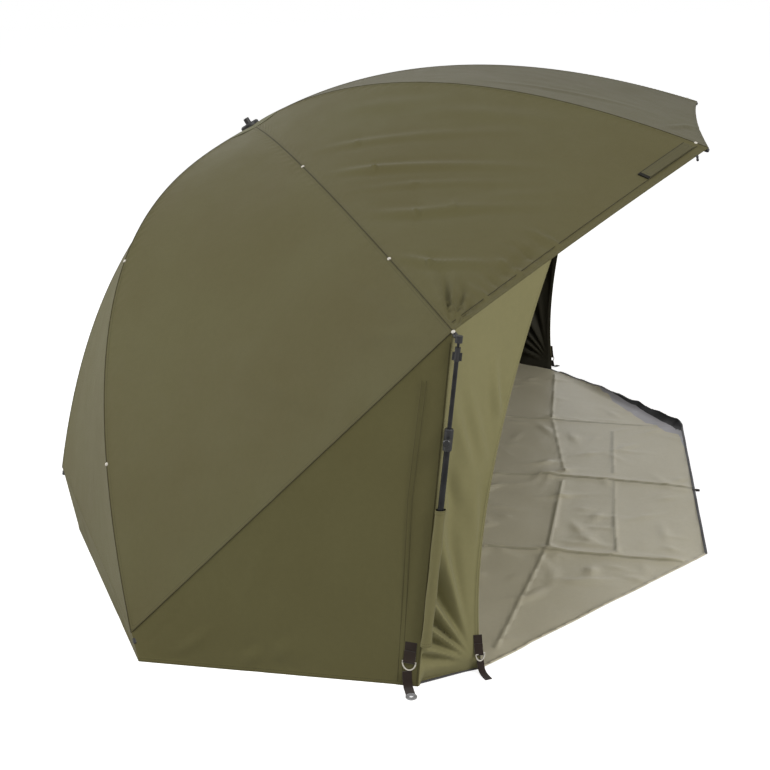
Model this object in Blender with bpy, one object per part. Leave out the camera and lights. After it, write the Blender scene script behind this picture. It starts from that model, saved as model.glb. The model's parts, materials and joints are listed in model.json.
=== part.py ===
"""Oval fishing umbrella: a wide eight-ribbed cover tilted back on two side poles, with walls to the
ground at its sides and rear, two small front wings and a groundsheet. Metres, +Z up, front towards -Y.
The origin is on the ground under the middle of the plan."""

from collections import namedtuple
from math import cos, pi, radians, sin

import bmesh
import bpy
from mathutils import Matrix, Vector

for item in list(bpy.data.objects):
    bpy.data.objects.remove(item, do_unlink=True)

# The hub, and the tilt of the whole cover towards the rear
HUB_HEIGHT = 1.139
HUB_BACK = 0.438
TILT = radians(30)

# Ribs: reach is measured square to the hub's axis and drop along it, both to the tip of the rod
FRONT_REACH = 1.318
FRONT_DROP = 0.692
SIDE_REACH = 1.556
SIDE_DROP = 0.658
CORNER_REACH = 1.494
CORNER_DROP = 0.939
REAR_REACH = 1.060
REAR_DROP = 0.580
Rib = namedtuple("Rib", "name side angle reach drop bend")

# Cloth, and the clearances between pieces that touch
CLOTH = 0.0025
SEAM_GAP = 0.0004
TOUCH = 0.0004
HEM_BACK = 0.012
FRONT_HEM_HOLLOW = 0.012
SIDE_HEM_HOLLOW = 0.004
CLOTH_OPENING_RADIUS = 0.025

# Rib rods and their knuckles
ROD_RADIUS = 0.004
ROD_UNDER_CLOTH = 0.0006
KNUCKLE_RADIUS = 0.0065
KNUCKLE_WIDTH = 0.009
TIP_RADIUS = 0.006
TIP_LENGTH = 0.0115
TIP_OVERHANG = 0.003
RIB_STEPS = 14
FRONT_GORE_STEPS = 10

# Hub pieces
PIVOT_RADIUS = 0.034
PIVOT_DEPTH = 0.012
PIVOT_WIRE = 0.0015
BOSS_RADIUS = 0.047
BOSS_CORE_RADIUS = 0.026
BOSS_TOP_DEPTH = 0.0042
BOSS_RIM_DEPTH = 0.0064
BOSS_HEIGHT = 0.026
BOSS_EDGE = 0.002
CAP_RADIUS = 0.030
CAP_HEIGHT = 0.012
CAP_EDGE = 0.004
CAP_STUB_RADIUS = 0.009
CAP_STUB_HEIGHT = 0.018
SPIGOT_RADIUS = 0.014
SPIGOT_LENGTH = 0.120
SPIGOT_KNOB_RADIUS = 0.020
SPIGOT_KNOB_HEIGHT = 0.014
COLLAR_WALL = 0.0045
COLLAR_FLOOR = 0.005
COLLAR_TOP_DEPTH = 0.0195

# Ground line of the walls: each corner as (half width, place along Y)
WALL_FRONT_HALF = 1.467
WALL_FRONT_Y = -0.258
WALL_CORNER_HALF = 1.395
WALL_CORNER_Y = 0.443
WALL_REAR_HALF = 0.522
WALL_REAR_Y = 0.908
WALL_NOTCH = 0.011

# Front wings
WING_FOOT_HALF = 1.379
WING_FOOT_Y = -0.399
WING_TOP_SHARE = 0.35
WING_HOLLOW = 0.078
WING_FOLD = 0.016
WING_FOLDS = 3
WING_FOLDED_SHARE = 0.84
WING_FOOT_GATHER_SHARE = 1.6

# Groundsheet, and the loop at the middle of its front edge
SHEET_THICKNESS = 0.0025
SHEET_FRONT_HALF = 0.595
SHEET_FRONT_Y = -0.922
SHEET_INSET = 0.0036
SHEET_WING_INSET = 0.020
LOOP_WIDTH = 0.025
LOOP_LENGTH = 0.030

# Side poles
POLE_STANDOFF = 0.0135
POLE_AHEAD = 0.010
UPPER_RADIUS = 0.005
LOWER_RADIUS = 0.007
TUBE_BORE_GAP = 0.0003
UPPER_INSIDE = 0.320
POLE_END_HEIGHT = 0.112
STUD_RADIUS = 0.003
SPIKE_LENGTH = 0.022
SOCKET_AHEAD = 0.010
SOCKET_RADIUS = 0.0085
SOCKET_HEIGHT = 0.016
NUT_BELOW = 0.018
NUT_HEIGHT = 0.032
NUT_RADIUS = 0.0065
NUT_EAR_REACH = 0.011
NUT_EAR_THICKNESS = 0.004
NUT_EAR_HEIGHT = 0.020
CLAMP_BELOW = 0.205
CLAMP_HEIGHT = 0.052
CLAMP_RADIUS = 0.0105
CLAMP_KNOB_RADIUS = 0.009
CLAMP_KNOB_LENGTH = 0.014
CLAMP_SHANK_RADIUS = 0.003
CLAMP_SHANK_LENGTH = 0.005
SLEEVE_TOP = 0.440
SLEEVE_BOTTOM = 0.108
SLEEVE_HALF_WIDTH = 0.0145
SLEEVE_HALF_DEPTH = 0.0098

# Webbing tabs, rings and the pegging plates
TAB_THICKNESS = 0.0022
TAB_LOOP_RADIUS = 0.0042
CORNER_TAB_WIDTH = 0.028
CORNER_TAB_TOP = 0.110
CORNER_RING_TOP = 0.062
CORNER_RING_HEIGHT = 0.025
CORNER_TAB_BACK = 0.026
FOOT_TAB_WIDTH = 0.020
FOOT_TAB_TOP = 0.094
FOOT_RING_TOP = 0.048
FOOT_RING_HEIGHT = 0.021
RING_WIRE = 0.0018
RING_OVER_TAB = 0.004
PEG_STRAP_WIDTH = 0.022
PEG_STRAP_THICKNESS = 0.0022
PEG_PLATE_REACH = 0.064
PEG_PLATE_HALF_LENGTH = 0.0155
PEG_PLATE_HALF_WIDTH = 0.0115
PEG_PLATE_THICKNESS = 0.003
PEG_HOLE_RADIUS = 0.0055

# One overrun serves every cut that passes right through
OVERRUN = 0.010

UP = Vector((0, 0, 1))
HUB = Vector((0, HUB_BACK, HUB_HEIGHT))
AXIS = Vector((0, sin(TILT), cos(TILT)))
AHEAD = Vector((0, -cos(TILT), sin(TILT)))
ROD_DEPTH = CLOTH + ROD_UNDER_CLOTH + ROD_RADIUS


def side_name(side):
    return "left" if side < 0 else "right"


def rib_set(side):
    """The four ribs of one side, from the front to the rear."""
    name = side_name(side)
    return [
        Rib("front_" + name, side, radians(26.5), FRONT_REACH, FRONT_DROP, 2.03),
        Rib("side_" + name, side, radians(69.4), SIDE_REACH, SIDE_DROP, 1.56),
        Rib("corner_" + name, side, radians(112.2), CORNER_REACH, CORNER_DROP, 2.95),
        Rib("rear_" + name, side, radians(151.1), REAR_REACH, REAR_DROP, 2.25),
    ]


LEFT = rib_set(-1)
RIGHT = rib_set(1)


def outward(rib):
    """Unit vector from the hub along a rib, square to the hub's axis."""
    return AHEAD * cos(rib.angle) + Vector((rib.side, 0, 0)) * sin(rib.angle)


def rib_slope(rib, share):
    return rib.bend * rib.drop / rib.reach * share ** (rib.bend - 1)


def on_rib(rib, share, depth):
    """The point of a rib's curve at a share of its reach, a depth under the cloth's outer face."""
    out = outward(rib)
    lift = (AXIS + out * rib_slope(rib, share)).normalized()
    return HUB + out * rib.reach * share - AXIS * rib.drop * share ** rib.bend - lift * depth


def along_rib(rib, share):
    """The direction in which a rib runs at a share of its reach."""
    return (outward(rib) - AXIS * rib_slope(rib, share)).normalized()


def cloth_share(rib, down, hollow=0):
    """The share of a rib's reach at which the cloth lies, from its hub opening at 0 to the hem at 1."""
    start = CLOTH_OPENING_RADIUS / rib.reach
    hem = 1 - (HEM_BACK + hollow) / rib.reach
    return start + (hem - start) * down


def gore_point(first, second, down, across, hollow, depth):
    """A point of the cloth between two ribs, on the straight chord from one to the other."""
    sag = hollow * 4 * across * (1 - across)
    start = on_rib(first, cloth_share(first, down, sag), depth)
    end = on_rib(second, cloth_share(second, down, sag), depth)
    return start.lerp(end, across)


def trimmed(value, length, gap):
    """A share from 0 to 1 kept a gap away from both ends of a length."""
    return (gap + value * (length - gap * 2)) / length


def material(name, colour, roughness, metallic=0.0):
    made = bpy.data.materials.new(name)
    made.use_nodes = True
    shader = made.node_tree.nodes["Principled BSDF"]
    shader.inputs["Base Color"].default_value = (*colour, 1)
    shader.inputs["Roughness"].default_value = roughness
    shader.inputs["Metallic"].default_value = metallic
    return made


FINISHES = {
    "canopy_cloth": ((0.150, 0.138, 0.068), 0.75, 0.0),
    "wall_cloth": ((0.118, 0.104, 0.052), 0.80, 0.0),
    "sheet_cloth": ((0.240, 0.215, 0.150), 0.65, 0.0),
    "webbing": ((0.028, 0.020, 0.016), 0.90, 0.0),
    "black_plastic": ((0.012, 0.012, 0.012), 0.45, 0.0),
    "pale_plastic": ((0.680, 0.640, 0.560), 0.40, 0.0),
    "black_metal": ((0.020, 0.020, 0.020), 0.35, 0.8),
    "bright_metal": ((0.550, 0.550, 0.540), 0.25, 1.0),
}


def add_object(name, mesh, finish, smooth_angle=None):
    """Link one mesh as an object with its own material."""
    mesh.materials.clear()
    mesh.materials.append(material(name, *FINISHES[finish]))
    if smooth_angle is not None:
        mesh.shade_smooth()
        mesh.set_sharp_from_angle(angle=smooth_angle)
    made = bpy.data.objects.new(name, mesh)
    bpy.context.collection.objects.link(made)
    return made


def mesh_from(name, shape):
    """Close a bmesh into mesh data with its faces pointing outwards."""
    bmesh.ops.recalc_face_normals(shape, faces=shape.faces)
    mesh = bpy.data.meshes.new(name)
    shape.to_mesh(mesh)
    shape.free()
    return mesh


def shell(name, finish, outer, inner, across, down):
    """A closed sheet between an outer and an inner face, each a function of two shares."""
    shape = bmesh.new()
    for place in (outer, inner):
        grid = bmesh.ops.create_grid(shape, x_segments=across, y_segments=down, size=1)
        for vert in grid["verts"]:
            vert.co = place((vert.co.y + 1) / 2, (vert.co.x + 1) / 2)
    rim = [edge for edge in shape.edges if edge.is_boundary]
    bmesh.ops.bridge_loops(shape, edges=rim)
    return add_object(name, mesh_from(name, shape), finish)


def turned_mesh(name, profile, sides):
    """A profile of (radius, height) points turned about Z. It may start and end on the axis."""
    shape = bmesh.new()
    verts = [shape.verts.new((radius, 0, height)) for radius, height in profile]
    edges = [shape.edges.new(pair) for pair in zip(verts, verts[1:])]
    if profile[0][0] > 0:
        edges.append(shape.edges.new((verts[-1], verts[0])))
    bmesh.ops.spin(shape, geom=verts + edges, cent=(0, 0, 0), axis=(0, 0, 1), angle=2 * pi, steps=sides)
    bmesh.ops.remove_doubles(shape, verts=shape.verts, dist=OVERRUN / 10000)
    return mesh_from(name, shape)


def frame(base, along, up):
    """A placement whose local Z follows one direction and whose local X leans towards another."""
    z_axis = up.normalized()
    y_axis = z_axis.cross(along).normalized()
    x_axis = y_axis.cross(z_axis)
    turn = Matrix((x_axis, y_axis, z_axis)).transposed().to_4x4()
    return Matrix.Translation(base) @ turn


def turned(name, finish, profile, sides, place, smooth_angle=radians(35)):
    made = add_object(name, turned_mesh(name, profile, sides), finish, smooth_angle)
    made.matrix_world = place
    return made


def box_mesh(name, low, high):
    shape = bmesh.new()
    bmesh.ops.create_cube(shape, size=1)
    size = Vector(high) - Vector(low)
    middle = (Vector(high) + Vector(low)) / 2
    for vert in shape.verts:
        vert.co = Vector((vert.co.x * size.x, vert.co.y * size.y, vert.co.z * size.z)) + middle
    return mesh_from(name, shape)


def tube_mesh(name, points, radius, closed=False):
    """A round rod along a run of points."""
    curve = bpy.data.curves.new(name, "CURVE")
    curve.dimensions = "3D"
    curve.bevel_depth = radius
    curve.bevel_resolution = 2
    curve.use_fill_caps = True
    spline = curve.splines.new("POLY")
    spline.points.add(len(points) - 1)
    for place, point in zip(spline.points, points):
        place.co = (*point, 1)
    spline.use_cyclic_u = closed
    holder = bpy.data.objects.new(name + "_path", curve)
    bpy.context.collection.objects.link(holder)
    graph = bpy.context.evaluated_depsgraph_get()
    mesh = bpy.data.meshes.new_from_object(holder.evaluated_get(graph))
    bpy.data.objects.remove(holder, do_unlink=True)
    shape = bmesh.new()
    shape.from_mesh(mesh)
    bmesh.ops.remove_doubles(shape, verts=shape.verts, dist=radius / 1000)
    return mesh_from(name, shape)


def helper(name, mesh, place, target, operation):
    """A hidden solid that is cut out of a piece or joined to it."""
    made = bpy.data.objects.new(name, mesh)
    bpy.context.collection.objects.link(made)
    made.matrix_world = place
    made.hide_render = True
    made.display_type = "WIRE"
    change = target.modifiers.new(name, "BOOLEAN")
    change.operation = operation
    change.solver = "EXACT"
    change.object = made
    return made


def pivot(name, place, pieces):
    """An empty on a joint's axis, which carries the pieces that move about it."""
    made = bpy.data.objects.new(name, None)
    bpy.context.collection.objects.link(made)
    made.location = place
    bpy.context.view_layer.update()
    for piece in pieces:
        piece.parent = made
        piece.matrix_parent_inverse = made.matrix_world.inverted()
    return made


# Cover: one gore between each pair of ribs
def gore(name, first, second, hollow, across):
    def face(depth):
        def place(down, share):
            chord = (
                on_rib(first, cloth_share(first, down), depth) - on_rib(second, cloth_share(second, down), depth)
            ).length
            return gore_point(first, second, down, trimmed(share, chord, SEAM_GAP / 2), hollow, depth)

        return place

    return shell(name, "canopy_cloth", face(0), face(CLOTH), across, RIB_STEPS)


gore("gore_front", LEFT[0], RIGHT[0], FRONT_HEM_HOLLOW, 4)
gore("gore_rear", LEFT[3], RIGHT[3], 0, 2)
for ribs in (LEFT, RIGHT):
    SIDE = side_name(ribs[0].side)
    gore("gore_front_" + SIDE, ribs[0], ribs[1], SIDE_HEM_HOLLOW, FRONT_GORE_STEPS)
    gore("gore_side_" + SIDE, ribs[1], ribs[2], 0, 2)
    gore("gore_rear_" + SIDE, ribs[2], ribs[3], 0, 2)


# Walls: sheets from the hem straight down to the ground
def ground(half, y, side):
    return Vector((half * side, y, 0))


def wall_shell(name, top, bottom, inward, across, down, gap=SEAM_GAP, shape_of=None):
    """A sheet hung from a hem to a ground line, each a function of the share across."""

    def face(depth):
        def place(fall, share):
            start, end = top(share, 0), bottom(share)
            fall_line = (end - start).normalized()
            step = (top(min(share + 0.05, 1), 0) - top(max(share - 0.05, 0), 0)).normalized()
            square = (fall_line - step * fall_line.dot(step)).normalized()
            hem_edge = max((top(share, CLOTH) - start).dot(square), 0)
            start = start + fall_line * (gap + hem_edge) / fall_line.cross(step).length
            point = start.lerp(end, fall)
            if shape_of:
                point = point + shape_of(fall, share)
            return point + inward * depth

        return place

    shell(name, "wall_cloth", face(0), face(CLOTH), across, down)
    return face(0)


def wall(name, first, second, corner_first, corner_second, across, down, gap=SEAM_GAP):
    """A wall under the hem between two ribs, notched clear of both rods."""
    length = (corner_second - corner_first).length

    def top(share, depth):
        return gore_point(first, second, 1, trimmed(share, length, WALL_NOTCH), 0, depth)

    def bottom(share):
        return corner_first.lerp(corner_second, trimmed(share, length, WALL_NOTCH))

    line = (corner_second - corner_first).normalized()
    inward = line.cross(UP)
    if inward.dot(corner_first + corner_second) > 0:
        inward = -inward
    return wall_shell(name, top, bottom, inward, across, down, gap)


WING_FACE = {}
REAR_CORNERS = [ground(WALL_REAR_HALF, WALL_REAR_Y, side) for side in (-1, 1)]
wall("rear_flap", LEFT[3], RIGHT[3], *REAR_CORNERS, 4, 2)

for ribs in (LEFT, RIGHT):
    side = ribs[0].side
    SIDE = side_name(side)
    front = ground(WALL_FRONT_HALF, WALL_FRONT_Y, side)
    corner = ground(WALL_CORNER_HALF, WALL_CORNER_Y, side)
    rear = ground(WALL_REAR_HALF, WALL_REAR_Y, side)
    wall("side_wall_" + SIDE, ribs[1], ribs[2], front, corner, 8, 4, SEAM_GAP * 2)
    wall("rear_flap_" + SIDE, ribs[2], ribs[3], corner, rear, 4, 2)

    # Front wing: its top is sewn to the hem ahead of the pole, its foot is gathered in folds
    foot = ground(WING_FOOT_HALF, WING_FOOT_Y, side)
    chord = (on_rib(ribs[0], 1, 0) - on_rib(ribs[1], 1, 0)).length
    wing_line = (foot - front).normalized()
    wing_inward = wing_line.cross(UP) * side

    def wing_top(share, depth, ribs=ribs, chord=chord):
        across = WALL_NOTCH / chord + share * (WING_TOP_SHARE - WALL_NOTCH / chord)
        return gore_point(ribs[1], ribs[0], 1, across, SIDE_HEM_HOLLOW, depth)

    def wing_bottom(share, front=front, foot=foot):
        gap = WALL_NOTCH / (foot - front).length
        return front.lerp(foot, gap + (1 - gap) * (1 - (1 - share) ** WING_FOOT_GATHER_SHARE))

    def wing_shape(fall, share, top=wing_top, bottom=wing_bottom, inward=wing_inward):
        back = (top(0, 0) - top(1, 0)).lerp(bottom(0) - bottom(1), fall)
        back.z = 0
        hollow = back.normalized() * WING_HOLLOW * 4 * fall * (1 - fall) * share
        wave = (1 - cos(2 * pi * WING_FOLDS * min(share / WING_FOLDED_SHARE, 1))) / 2
        depth = (1 - (1 - fall) ** 2) * (1 - 0.5 * fall ** 4)
        return hollow + inward * WING_FOLD * wave * depth

    gap = SEAM_GAP + SIDE_HEM_HOLLOW / FRONT_GORE_STEPS ** 2
    WING_FACE[SIDE] = wall_shell(
        "wing_" + SIDE, wing_top, wing_bottom, wing_inward, 24, 14, gap, wing_shape
    )

# Groundsheet: one flat sheet inside the walls, with a loop at the middle of its front edge
half_outline = [
    (WALL_REAR_HALF - SHEET_INSET, WALL_REAR_Y - SHEET_INSET * 2),
    (WALL_CORNER_HALF - SHEET_INSET * 2, WALL_CORNER_Y - SHEET_INSET * 2),
    (WALL_FRONT_HALF - SHEET_INSET, WALL_FRONT_Y + SHEET_INSET),
    (WALL_FRONT_HALF - SHEET_WING_INSET * 1.6, WALL_FRONT_Y - SHEET_WING_INSET / 2),
    (WING_FOOT_HALF - SHEET_WING_INSET, WING_FOOT_Y),
    (SHEET_FRONT_HALF, SHEET_FRONT_Y),
    (LOOP_WIDTH / 2, SHEET_FRONT_Y),
    (LOOP_WIDTH / 2, SHEET_FRONT_Y - LOOP_LENGTH),
]
outline = half_outline + [(-x, y) for x, y in reversed(half_outline)]
shape = bmesh.new()
floor = shape.faces.new([shape.verts.new((x, y, 0)) for x, y in outline])
raised = bmesh.ops.extrude_face_region(shape, geom=[floor])
for vert in [piece for piece in raised["geom"] if isinstance(piece, bmesh.types.BMVert)]:
    vert.co.z = SHEET_THICKNESS
add_object("groundsheet", mesh_from("groundsheet", shape), "sheet_cloth")

# Hub: a slotted boss under the cloth, a cap over it, a wire ring through the knuckles, and the spigot
def round_section(radius, thickness):
    """The eight-sided section of a wire ring."""
    return [
        (radius + thickness * cos(step * pi / 4), thickness * sin(step * pi / 4)) for step in range(8)
    ]


def rod_profile(radius, low, high):
    """The profile of a plain solid rod between two heights."""
    return [(0, low), (radius, low), (radius, high), (0, high)]


BORE_RADIUS = PIVOT_WIRE + TOUCH * 1.5
BOSS_BOTTOM = BOSS_TOP_DEPTH + BOSS_HEIGHT
hub_place = frame(HUB, Vector((1, 0, 0)), AXIS)
ring_place = frame(HUB - AXIS * PIVOT_DEPTH, Vector((1, 0, 0)), AXIS)

boss_profile = [
    (0, -BOSS_TOP_DEPTH),
    (BOSS_CORE_RADIUS, -BOSS_TOP_DEPTH),
    (BOSS_RADIUS, -BOSS_RIM_DEPTH),
    (BOSS_RADIUS, BOSS_EDGE - BOSS_BOTTOM),
    (BOSS_RADIUS - BOSS_EDGE, -BOSS_BOTTOM),
    (0, -BOSS_BOTTOM),
]
boss = turned("hub_boss", "black_plastic", boss_profile, 48, hub_place)
for rib in LEFT + RIGHT:
    slot_half = KNUCKLE_WIDTH / 2 + TOUCH
    slot = box_mesh(
        "slot_" + rib.name,
        (BOSS_CORE_RADIUS, -slot_half, -BOSS_BOTTOM - OVERRUN),
        (BOSS_RADIUS + OVERRUN, slot_half, OVERRUN),
    )
    helper("slot_" + rib.name, slot, frame(HUB, outward(rib), AXIS), boss, "DIFFERENCE")
tunnel = turned_mesh("ring_tunnel", round_section(PIVOT_RADIUS, BORE_RADIUS), 48)
helper("ring_tunnel", tunnel, ring_place, boss, "DIFFERENCE")
turned("pivot_ring", "bright_metal", round_section(PIVOT_RADIUS, PIVOT_WIRE), 48, ring_place)

stud_radius = CLOTH_OPENING_RADIUS * cos(pi - LEFT[3].angle) - TOUCH * 2
cap_profile = [
    (0, TOUCH - BOSS_TOP_DEPTH),
    (stud_radius, TOUCH - BOSS_TOP_DEPTH),
    (stud_radius, TOUCH),
    (CAP_RADIUS, TOUCH),
    (CAP_RADIUS, CAP_HEIGHT - CAP_EDGE),
    (CAP_RADIUS - CAP_EDGE, CAP_HEIGHT),
    (CAP_STUB_RADIUS, CAP_HEIGHT),
    (CAP_STUB_RADIUS, CAP_HEIGHT + CAP_STUB_HEIGHT - BOSS_EDGE),
    (CAP_STUB_RADIUS - BOSS_EDGE, CAP_HEIGHT + CAP_STUB_HEIGHT),
    (0, CAP_HEIGHT + CAP_STUB_HEIGHT),
]
turned("hub_cap", "black_plastic", cap_profile, 32, hub_place)

spigot_top = -BOSS_BOTTOM - TOUCH
spigot_end = spigot_top - SPIGOT_LENGTH
spigot_profile = [
    (0, spigot_top),
    (SPIGOT_RADIUS, spigot_top),
    (SPIGOT_RADIUS, spigot_end + SPIGOT_KNOB_HEIGHT),
    (SPIGOT_KNOB_RADIUS, spigot_end + SPIGOT_KNOB_HEIGHT),
    (SPIGOT_KNOB_RADIUS, spigot_end + BOSS_EDGE),
    (SPIGOT_KNOB_RADIUS - BOSS_EDGE, spigot_end),
    (0, spigot_end),
]
turned("hub_spigot", "black_plastic", spigot_profile, 24, hub_place)

collar_bore = SPIGOT_RADIUS + TOUCH
collar_inner = BOSS_RADIUS + TOUCH
collar_outer = collar_inner + COLLAR_WALL
collar_seat = -BOSS_BOTTOM - TOUCH
collar_profile = [
    (collar_bore, collar_seat),
    (collar_inner, collar_seat),
    (collar_inner, -COLLAR_TOP_DEPTH),
    (collar_outer, -COLLAR_TOP_DEPTH),
    (collar_outer, collar_seat - COLLAR_FLOOR + BOSS_EDGE),
    (collar_outer - BOSS_EDGE, collar_seat - COLLAR_FLOOR),
    (collar_bore, collar_seat - COLLAR_FLOOR),
]
collar = turned("lock_collar", "black_plastic", collar_profile, 32, hub_place)
pivot("lock_collar_slide", HUB + AXIS * collar_seat, [collar])


# Poles: a threaded upper tube in the tip of each side rib, and a lower tube that slides over it
def pole_pieces(rib, tip, tip_direction):
    """The pieces of one side pole, which ends in its sleeve, and the empties they turn or slide on."""
    SIDE = side_name(rib.side)
    foot = ground(WALL_FRONT_HALF + POLE_STANDOFF, WALL_FRONT_Y - POLE_AHEAD, rib.side)
    foot.z = TOUCH
    socket = tip + tip_direction * SOCKET_AHEAD
    down = (foot - socket).normalized()
    length = (foot - socket).length
    raised = POLE_END_HEIGHT / -down.z
    pole_end = foot - down * raised
    outwards = Vector((rib.side, 0, 0))
    from_top = frame(socket, outwards, down)
    from_foot = frame(pole_end, outwards, -down)

    nut_end = NUT_BELOW + NUT_HEIGHT
    upper_end = CLAMP_BELOW + UPPER_INSIDE
    upper_profile = [
        (0, -SOCKET_HEIGHT / 4),
        (STUD_RADIUS, -SOCKET_HEIGHT / 4),
        (STUD_RADIUS, nut_end + TOUCH),
        (UPPER_RADIUS, nut_end + TOUCH),
        (UPPER_RADIUS, upper_end),
        (0, upper_end),
    ]
    turned("pole_upper_" + SIDE, "black_metal", upper_profile, 12, from_top)

    bore = UPPER_RADIUS + TUBE_BORE_GAP
    clamp_seat = CLAMP_HEIGHT / 4
    lower_top = length - raised - CLAMP_BELOW - clamp_seat
    bore_end = SPIKE_LENGTH * 2
    lower_profile = [
        (0, 0),
        (LOWER_RADIUS / 3, 0),
        (LOWER_RADIUS, SPIKE_LENGTH),
        (LOWER_RADIUS, lower_top),
        (bore, lower_top),
        (bore, bore_end),
        (0, bore_end),
    ]
    lower = turned("pole_lower_" + SIDE, "black_metal", lower_profile, 16, from_foot)

    clamp_bore = LOWER_RADIUS + TUBE_BORE_GAP
    clamp_end = CLAMP_BELOW + CLAMP_HEIGHT
    clamp_profile = [
        (bore, CLAMP_BELOW),
        (CLAMP_RADIUS - BOSS_EDGE, CLAMP_BELOW),
        (CLAMP_RADIUS, CLAMP_BELOW + BOSS_EDGE),
        (CLAMP_RADIUS, clamp_end - BOSS_EDGE),
        (CLAMP_RADIUS - BOSS_EDGE, clamp_end),
        (clamp_bore, clamp_end),
        (clamp_bore, CLAMP_BELOW + clamp_seat - TOUCH),
        (bore, CLAMP_BELOW + clamp_seat - TOUCH),
    ]
    clamp = turned("pole_clamp_" + SIDE, "black_plastic", clamp_profile, 16, from_top)
    pivot("pole_slide_" + SIDE, pole_end, [lower, clamp])

    knob_base = socket + down * (CLAMP_BELOW + CLAMP_HEIGHT / 2) + outwards * (CLAMP_RADIUS + TOUCH)
    knob_profile = [
        (0, 0),
        (CLAMP_SHANK_RADIUS, 0),
        (CLAMP_SHANK_RADIUS, CLAMP_SHANK_LENGTH),
        (CLAMP_KNOB_RADIUS, CLAMP_SHANK_LENGTH),
        (CLAMP_KNOB_RADIUS, CLAMP_SHANK_LENGTH + CLAMP_KNOB_LENGTH - BOSS_EDGE),
        (CLAMP_KNOB_RADIUS - BOSS_EDGE, CLAMP_SHANK_LENGTH + CLAMP_KNOB_LENGTH),
        (0, CLAMP_SHANK_LENGTH + CLAMP_KNOB_LENGTH),
    ]
    knob_place = frame(knob_base, UP, outwards)
    knob = turned("clamp_knob_" + SIDE, "black_plastic", knob_profile, 12, knob_place)
    pivot("clamp_knob_turn_" + SIDE, knob_base, [knob])

    nut_profile = rod_profile(NUT_RADIUS, NUT_BELOW, nut_end)
    nut = turned("butterfly_nut_" + SIDE, "black_plastic", nut_profile, 16, from_top)
    ears = box_mesh(
        "nut_ears_" + SIDE,
        (-NUT_EAR_THICKNESS / 2, -NUT_EAR_REACH, nut_end - NUT_EAR_HEIGHT),
        (NUT_EAR_THICKNESS / 2, NUT_EAR_REACH, nut_end - BOSS_EDGE),
    )
    helper("nut_ears_" + SIDE, ears, from_top, nut, "UNION")
    nut_bore = turned_mesh(
        "nut_bore_" + SIDE, rod_profile(STUD_RADIUS + TUBE_BORE_GAP, 0, nut_end + OVERRUN), 16
    )
    helper("nut_bore_" + SIDE, nut_bore, from_top, nut, "DIFFERENCE")
    pivot("nut_turn_" + SIDE, socket + down * NUT_BELOW, [nut])

    socket_mesh = turned_mesh(
        "socket_" + SIDE, rod_profile(SOCKET_RADIUS, -SOCKET_HEIGHT / 2, SOCKET_HEIGHT / 2), 16
    )
    socket_bore = turned_mesh(
        "socket_bore_" + SIDE,
        rod_profile(STUD_RADIUS + TUBE_BORE_GAP, -SOCKET_HEIGHT / 4 - TOUCH, SOCKET_HEIGHT),
        16,
    )

    sleeve_top = (foot - socket).normalized() * ((socket.z - SLEEVE_TOP) / -down.z)
    sleeve_length = (SLEEVE_TOP - SLEEVE_BOTTOM) / -down.z
    sleeve_mesh = turned_mesh(
        "pole_sleeve_" + SIDE,
        [
            (LOWER_RADIUS + TOUCH, 0),
            (SLEEVE_HALF_DEPTH, 0),
            (SLEEVE_HALF_DEPTH, sleeve_length),
            (LOWER_RADIUS + TOUCH, sleeve_length),
        ],
        20,
    )
    for vert in sleeve_mesh.vertices:
        if Vector((vert.co.x, vert.co.y)).length > (LOWER_RADIUS + SLEEVE_HALF_DEPTH) / 2:
            vert.co.y *= SLEEVE_HALF_WIDTH / SLEEVE_HALF_DEPTH
    sleeve = add_object("pole_sleeve_" + SIDE, sleeve_mesh, "wall_cloth", radians(35))
    sleeve.matrix_world = frame(socket + sleeve_top, outwards, down)
    return from_top, socket_mesh, socket_bore


# Ribs: a rod under the cloth with a knuckle on the pivot ring, and a cap on its tip
for rib in LEFT + RIGHT:
    out = outward(rib)
    pin = HUB + out * PIVOT_RADIUS - AXIS * PIVOT_DEPTH
    run = [cloth_share(rib, step / RIB_STEPS) for step in range(RIB_STEPS + 1)]
    run = [share for share in run if share * rib.reach > PIVOT_RADIUS * 1.6]
    points = [pin] + [on_rib(rib, share, ROD_DEPTH) for share in run] + [on_rib(rib, 1, ROD_DEPTH)]
    rod = add_object("rib_" + rib.name, tube_mesh("rib_" + rib.name, points, ROD_RADIUS), "black_metal", radians(35))
    knuckle = turned_mesh(
        "knuckle_" + rib.name, rod_profile(KNUCKLE_RADIUS, -KNUCKLE_WIDTH / 2, KNUCKLE_WIDTH / 2), 16
    )
    bore = turned_mesh("bore_" + rib.name, rod_profile(BORE_RADIUS, -KNUCKLE_WIDTH, KNUCKLE_WIDTH), 16)
    across = frame(pin, AXIS, AXIS.cross(out))
    helper("knuckle_" + rib.name, knuckle, across, rod, "UNION")
    helper("bore_" + rib.name, bore, across, rod, "DIFFERENCE")

    tip = points[-1]
    direction = (points[-1] - points[-2]).normalized()
    cap_bore = ROD_RADIUS + TOUCH
    cap = turned(
        "tip_" + rib.name,
        "black_plastic",
        [
            (0, TOUCH),
            (cap_bore, TOUCH),
            (cap_bore, TOUCH - TIP_LENGTH),
            (TIP_RADIUS, TOUCH - TIP_LENGTH),
            (TIP_RADIUS, 0),
            (TIP_RADIUS - BOSS_EDGE, TIP_OVERHANG),
            (0, TIP_OVERHANG),
        ],
        12,
        frame(tip, AXIS, direction),
    )
    if rib in (LEFT[1], RIGHT[1]):
        from_top, socket_mesh, socket_bore = pole_pieces(rib, tip, direction)
        helper("socket_" + side_name(rib.side), socket_mesh, from_top, cap, "UNION")
        helper("socket_bore_" + side_name(rib.side), socket_bore, from_top, cap, "DIFFERENCE")
    pivot("fold_" + rib.name, pin, [rod, cap])


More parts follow.
